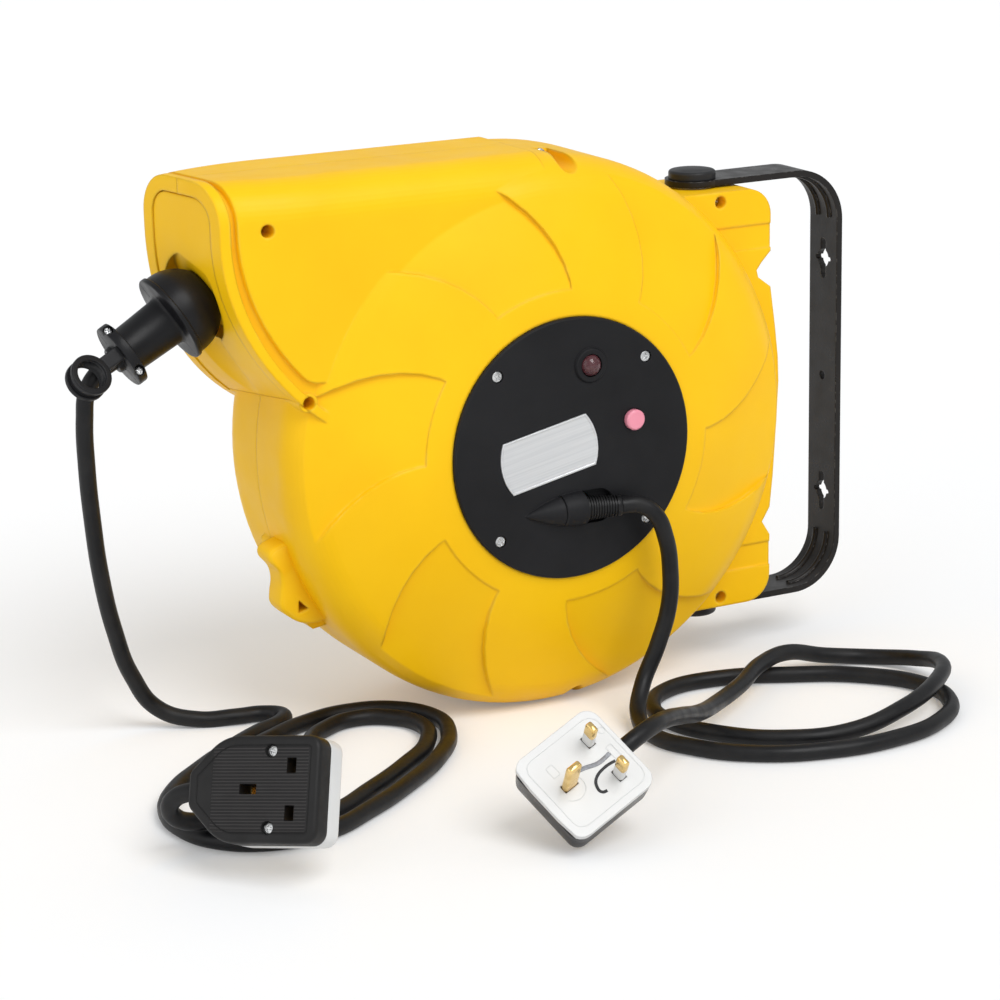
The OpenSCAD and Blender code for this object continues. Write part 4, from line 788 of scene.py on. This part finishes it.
def cornered(*corners, steps=7):
    """An outline of round corners, each (x, y, radius, first angle, last angle); insets shrink it."""
    def outline(inset):
        points = []
        for x, y, radius, first, last in corners:
            points += arc_points((x, y), radius - inset, first, last, steps)
        return points
    return outline


def block(x, y, width, height, corner):
    w, h = width / 2 - corner, height / 2 - corner
    return cornered((x + w, y - h, corner, -90, 0), (x + w, y + h, corner, 0, 90),
                    (x - w, y + h, corner, 90, 180), (x - w, y - h, corner, 180, 270), steps=4)


def sleeve(shape, stations, sectors=40):
    """Joins rings along a bent line. A station is (middle in metres, direction, radius in mm)."""
    rings = []
    for middle, direction, radius in stations:
        turn = Vector(direction).to_track_quat("Z", "Y").to_matrix().to_4x4()
        place = Matrix.Translation(middle) @ turn
        rings.append([shape.verts.new(place @ mm(radius * math.cos(2 * math.pi * k / sectors),
                                                 radius * math.sin(2 * math.pi * k / sectors), 0))
                      for k in range(sectors)])
    join_loops(shape, rings)


print("forms: lathe, stepped outline, sleeve")

# %% [markdown]
# ## The stopper
# The stopper is two half shells that clamp the cord, so a seam runs along it and across both flanges.
# Each half is half a lathe, kept a hair apart from the other. The front half also carries the eye that
# a hook or a finger pulls on: two rings on a stem with a web between them.

# %% Stopper halves
ball_z, ball_r, flange_edge = -5, 23, 24
seam, bore = 0.14, 4.6
stopper_profile = (
    arc_points((0, ball_z), ball_r, -78.5, 0, 16)
    + [(ball_r, -3), (23.6, -2.9), (flange_edge, -2.5), (flange_edge, -0.6), (23.5, -0.1), (23, 0)]
    + arc_points((15.2, 2.2), 2.2, 270, 180, 5)
    + [(12.1, 26), (12.6, 26.8), (16.7, 27), (17.3, 27.3), (17.5, 27.9), (17.5, 31.6), (17.3, 32.2),
       (16.7, 32.5), (8.4, 32.5), (7.4, 33), (7, 35.6), (6.5, 36), (bore, 36)]
    + [(bore, ball_z - math.sqrt(ball_r ** 2 - bore ** 2))])
front_half, rear_half = bmesh.new(), bmesh.new()
lathe(front_half, stopper_axes, stopper_profile, 180, 360, aside=-seam)
lathe(rear_half, stopper_axes, stopper_profile, 0, 180, aside=seam)
eye_lean, eye_hole = 25, 7.6
eye_ring = [(eye_hole, -1.0), (7.9, -1.4), (10.4, -1.4), (10.8, -1.0),
            (10.8, 1.0), (10.4, 1.4), (7.9, 1.4), (eye_hole, 1.0)]
eye_core = [(7.75, -2.6), (9.4, -2.6), (9.4, 2.6), (7.75, 2.6)]
eye_turn = Matrix.Rotation(math.radians(90 + eye_lean), 4, "X")
eye_axes = stopper_axes @ shift(-0.8, -14, 53.4) @ eye_turn
lathe(front_half, eye_axes, eye_core)
stem_axes = stopper_axes @ shift(0, 0, 31.5)
for ring_at, stem_y, stem_top in ((3.4, -12.5, 11.6), (-3.4, -6.4, 14.4)):
    lathe(front_half, eye_axes @ shift(0, 0, ring_at), eye_ring)
    stepped(front_half, stem_axes, block(0, stem_y, 7.6, 2.6, 0.5), [(0, 0), (0, stem_top)])
stepped(front_half, stem_axes, block(0, -9.5, 3.2, 4.4, 0.3), [(0, 0), (0, 12.2)])
well_profile = [(0.01, -30), (1.3, -30), (1.3, clamp_seat), (2.6, clamp_seat), (2.6, 22), (0.01, 22)]
for name, shape in (("stopper_front", front_half), ("stopper_rear", rear_half)):
    wells = bmesh.new()
    for side in (-1, 1):
        well = stopper_axes @ shift(side * clamp_offset, 0, clamp_middle) @ quarter_turn
        lathe(wells, well, well_profile, sectors=24)
    stand_in(name, shape, name + "_half", cuts=wells)
print("stopper: ball", 2 * ball_r, "mm, flange", 2 * flange_edge, "mm, eye hole", 2 * eye_hole, "mm")

# %% [markdown]
# ## The bend relief
# Where the supply cord leaves its hood, a ribbed sleeve keeps it from kinking. It is moulded straight
# and bent by the cord, so its rings are strung along a curve that leaves the hood squarely and ends on
# the cord's own line.

# %% Bend relief
relief_start, relief_end = mm(-212, -70.7, -32.5), mm(-181.9, -77.7, -32.5)
relief_run, relief_rise = relief_end.x - relief_start.x, relief_end.y - relief_start.y
relief_ribs, first_rib, ribbed_share = 13, 0.30, 0.62
relief_root, relief_taper, relief_bend = 7.2, 1.75, 1.45


def relief_station(t, sink=0.0):
    """A ring of the sleeve: its middle, its direction and its radius, less what a groove sinks."""
    radius = relief_root - relief_taper * t - sink
    middle = relief_start.lerp(relief_end, t)
    middle.y = relief_start.y + relief_rise * t ** relief_bend
    slope = relief_bend * relief_rise * t ** (relief_bend - 1) / relief_run
    return middle, (1, slope, 0), radius


relief_stations = [relief_station(0.0)]
for rib in range(relief_ribs):
    start = first_rib + ribbed_share * rib / relief_ribs
    for part, sink in ((0.0, 0.0), (0.50, 0.0), (0.58, 0.75), (0.92, 0.75)):
        relief_stations.append(relief_station(start + ribbed_share / relief_ribs * part, sink))
for t, sink in ((0.92, 0.0), (0.985, 0.0), (1.0, 0.35)):
    relief_stations.append(relief_station(t, sink))
relief_shape = bmesh.new()
sleeve(relief_shape, relief_stations)
stand_in("ribbed_relief", relief_shape, "bend_relief")
print("relief:", relief_ribs, "ribs,", round(1000 * relief_run), "mm long")

# %% [markdown]
# ## The plug's pins
# Flat pins have round noses, so that they find their holes, and the two line pins wear sleeves next to
# the plug. Each pin is a small rounded outline that shrinks toward its nose.

# %% Plug pins
plug_turn = Euler([math.radians(a) for a in (41, -25.2, 5.5)])
plug_place = shift(-289.6, -228.2, -113) @ plug_turn.to_matrix().to_4x4()
pin_pitch = 11.1
line_reach, earth_reach, sleeve_reach = 17.7, 22.7, 9
pins, sleeves = bmesh.new(), bmesh.new()
nose = [(0, -1.9), (0.18, -1.1), (0.55, -0.4), (1.1, 0)]
for side in (-1, 1):
    line_pin = block(pin_pitch, pin_pitch * side, 4, 6.35, 1.3)
    stepped(pins, plug_place, line_pin, [(0.7, -9), (0.7, sleeve_reach), (0, sleeve_reach)]
            + [(i, line_reach + z) for i, z in nose])
    stepped(sleeves, plug_place, line_pin,
            [(0.02, 0.05), (0.02, 8.7), (0.15, 8.95), (0.6, sleeve_reach)])
stepped(pins, plug_place, block(-pin_pitch, 0, 8, 4, 1.3),
        [(0, -9)] + [(i, earth_reach + z) for i, z in nose])
plug_pins = stand_in("flat_pins", pins, "plug_pins")
line_sleeves = stand_in("line_pin_sleeves", sleeves, "pin_sleeves", slot="plug_white")
print("pins on a", 2 * pin_pitch, "mm pitch")

# %% [markdown]
# ## The plug's back
# A plug narrows toward its back, so that it comes out of its mould and sits well in the hand. Its
# outline is the face's own, stepped in faster and faster, which rounds the back over.

# %% Plug back
plug_rim = cornered((17, -18, 7, -90, 0), (17, 18, 7, 0, 90),
                    (-19.6, 17.6, 7.4, 90, 180), (-19.6, -17.6, 7.4, 180, 270))
plug_shape = bmesh.new()
stepped(plug_shape, plug_place, plug_rim, [
    (4.4, -20), (3.1, -19.7), (1.9, -18.6), (1.2, -16.6), (0.8, -13), (0.5, -9), (0.3, -6), (0.1, -4),
    (0.1, -3.3), (0.35, -3.05)])
plug_back = stand_in("plug_back", plug_shape, "plug_body")

# %% [markdown]
# ## The card on the plug
# New plugs carry a card that shows how the cores are led to their pins. Its words are left out. The
# drawing is laid on as thin ribbons: two cores, the earth pin's ring and the outline of the cord grip.

# %% Wiring card


def smooth_line(points, steps=8):
    """Points along a bent line that passes through every given point."""
    ends = [points[0]] + list(points) + [points[-1]]
    line = []
    for a, b, c, d in zip(ends, ends[1:], ends[2:], ends[3:]):
        for i in range(steps):
            t = i / steps
            line.append(tuple(0.5 * (2 * q + (r - p) * t + (2 * p - 5 * q + 4 * r - s) * t ** 2
                                     + (3 * q - p - 3 * r + s) * t ** 3) for p, q, r, s in zip(a, b, c, d)))
    return line + [tuple(points[-1])]


def ribbon(shape, place, line, width, height=0.12):
    """Lays a flat ribbon on the plane z = 0 of a place."""
    rows = []
    for i, (x, y) in enumerate(line):
        before, after = line[max(i - 1, 0)], line[min(i + 1, len(line) - 1)]
        along = Vector((after[0] - before[0], after[1] - before[1])).normalized()
        side = Vector((-along.y, along.x)) * width / 2
        rows.append([shape.verts.new(place @ mm(x + side.x * s, y + side.y * s, z))
                     for s, z in ((-1, 0), (1, 0), (1, height), (-1, height))])
    join_loops(shape, rows)


card_face = plug_place @ shift(0, 0, 0.02)
grey_core, black_core, pale_lines = bmesh.new(), bmesh.new(), bmesh.new()
grey_run = [(-4.2, 3.1), (0.6, 1.8), (6.1, -0.2), (10.4, -0.5), (15, -0.1)]
black_run = [(14.5, -4.7), (9.5, -4.0), (3.7, -4.6), (-0.2, -6.8),
             (-1.9, -10.7), (-1.0, -13.0), (1.1, -13.6)]
ribbon(grey_core, card_face, smooth_line(grey_run), 2.2)
ribbon(black_core, card_face, smooth_line(black_run), 1.5)
ribbon(pale_lines, card_face, arc_points((-pin_pitch, -2), 6.6, 215, 395, 18), 0.3)
for outline in (block(17, -3.2, 3.4, 13, 0.6), block(-12.6, 10.2, 4, 6.4, 0.6),
                block(20, 11.3, 3.4, 3.4, 1.65), block(-0.5, 0, 44.5, 42, 5.5)):
    loop = outline(0)
    ribbon(pale_lines, card_face, loop + loop[:1], 0.25)
card_pieces = [add_to_housing("card_grey_core", grey_core, "dark_steel"),
               add_to_housing("card_black_core", black_core, "plug_black"),
               add_to_housing("card_pale_lines", pale_lines, "socket_grey")]
print("card drawn with", len(card_pieces), "pieces")

# %% [markdown]
# ## The trailing socket's two halves
# The front is black rubber with a rolled rim, a plain border and a ribbed field; the back is grey. Both
# share one outline, a round-shouldered shield. The slots, the screw wells and the cord's bed are cut
# out, because light has to fall on the brass behind them.

# %% Socket halves
shield = cornered((19, -18.9, 6.5, -90, 0), (19, 18.9, 6.5, 0, 90), (-17, 4.4, 21, 90, 135),
                  (-37, 5.6, 6, 135, 180), (-37, -5.6, 6, 180, 225), (-17, -4.4, 21, 225, 270))
parting = -12
front_shape, back_shape = bmesh.new(), bmesh.new()
stepped(front_shape, on_socket, shield, [
    (0.3, parting), (0, parting + 0.3), (0, -3.0), (0.2, -1.7), (0.75, -0.7), (1.6, -0.15), (2.6, 0),
    (4.5, 0), (4.7, -0.4), (5.1, -0.4), (5.3, -0.05)])
stepped(back_shape, on_socket, shield, [
    (5.5, -28), (3.2, -27.6), (1.4, -26.4), (0.4, -24.4), (0, -22), (0, parting - 0.3), (0.3, parting)])
front_cuts, back_cuts = bmesh.new(), bmesh.new()
for x, y, width, height in ((pin_pitch, pin_pitch, 4.8, 7.15), (pin_pitch, -pin_pitch, 4.8, 7.15),
                            (-pin_pitch, 0, 8.8, 4.8)):
    stepped(front_cuts, on_socket, block(x, y, width, height, 0.25), [(0, -20), (0, 5)])
stepped(back_cuts, on_socket, block(0, 0, 43, 35, 2), [(0, -25), (0, -5)])
cord_bed = on_socket @ shift(-44, 0, parting) @ Matrix.Rotation(math.radians(90), 4, "Y")
for shape, length in ((front_cuts, 14), (back_cuts, 24)):
    lathe(shape, cord_bed, [(0.01, 0), (bore, 0), (bore, length), (0.01, length)], sectors=32)
for side in (-1, 1):
    lathe(front_cuts, on_socket @ shift(0, socket_screw_y * side, 0),
          [(0.01, -30), (1.6, -30), (1.6, -2.5), (3.2, -2.5), (3.2, 4), (0.01, 4)], sectors=28)
socket_face = stand_in("socket_face", front_shape, "socket_front", cuts=front_cuts)
socket_shell = stand_in("socket_shell", back_shape, "socket_back", cuts=back_cuts)
print("socket", " x ".join(str(round(max(side) - min(side), 1)) for side in zip(*shield(0))), "mm")

# %% [markdown]
# ## The rim's lug
# Low on the left a lug stands out of the rim, with a round eye and a small three-cornered slot. It is
# an outline with a rolled edge; its root runs on into the rim, where it meets the shell.

# %% Lug
lug_edge = [(-118, -46), (-133, -40), (-146, -42.5), (-152.5, -45.5), (-153, -50.5), (-148, -57),
            (-146.5, -64), (-147.5, -71), (-147.5, -77), (-143.5, -82), (-138, -86), (-132, -88),
            (-124, -88), (-112, -84)]
lug_line = smooth_line(lug_edge, steps=4)
lug_middle = (-131, -66)
lug_back, lug_front = 4, 19.5


def lug_outline(inset):
    """Draws the edge in toward the lug's middle by the inset."""
    points = []
    for x, z in lug_line:
        away = Vector((x - lug_middle[0], z - lug_middle[1]))
        away *= (away.length - inset) / away.length
        points.append((lug_middle[0] + away.x, lug_middle[1] + away.y))
    return list(reversed(points))


lug_axes = facing_front(0, 0, 0)
lug_shape, lug_cuts = bmesh.new(), bmesh.new()
stepped(lug_shape, lug_axes, lug_outline,
        [(0, lug_back), (0, lug_front - 2), (0.5, lug_front - 0.7), (1.6, lug_front)])
lathe(lug_cuts, lug_axes @ shift(-135.5, -53.5, 0), [(0.01, -5), (3, -5), (3, 25), (0.01, 25)], sectors=24)
three_corners = [(-137.5, -74), (-132, -79.5), (-138, -81)]
stepped(lug_cuts, lug_axes, lambda inset: three_corners, [(0, -5), (0, 25)])
add_to_housing("rim_lug", lug_shape, "yellow_shell", lug_cuts)
print("lug", lug_front - lug_back, "mm thick")
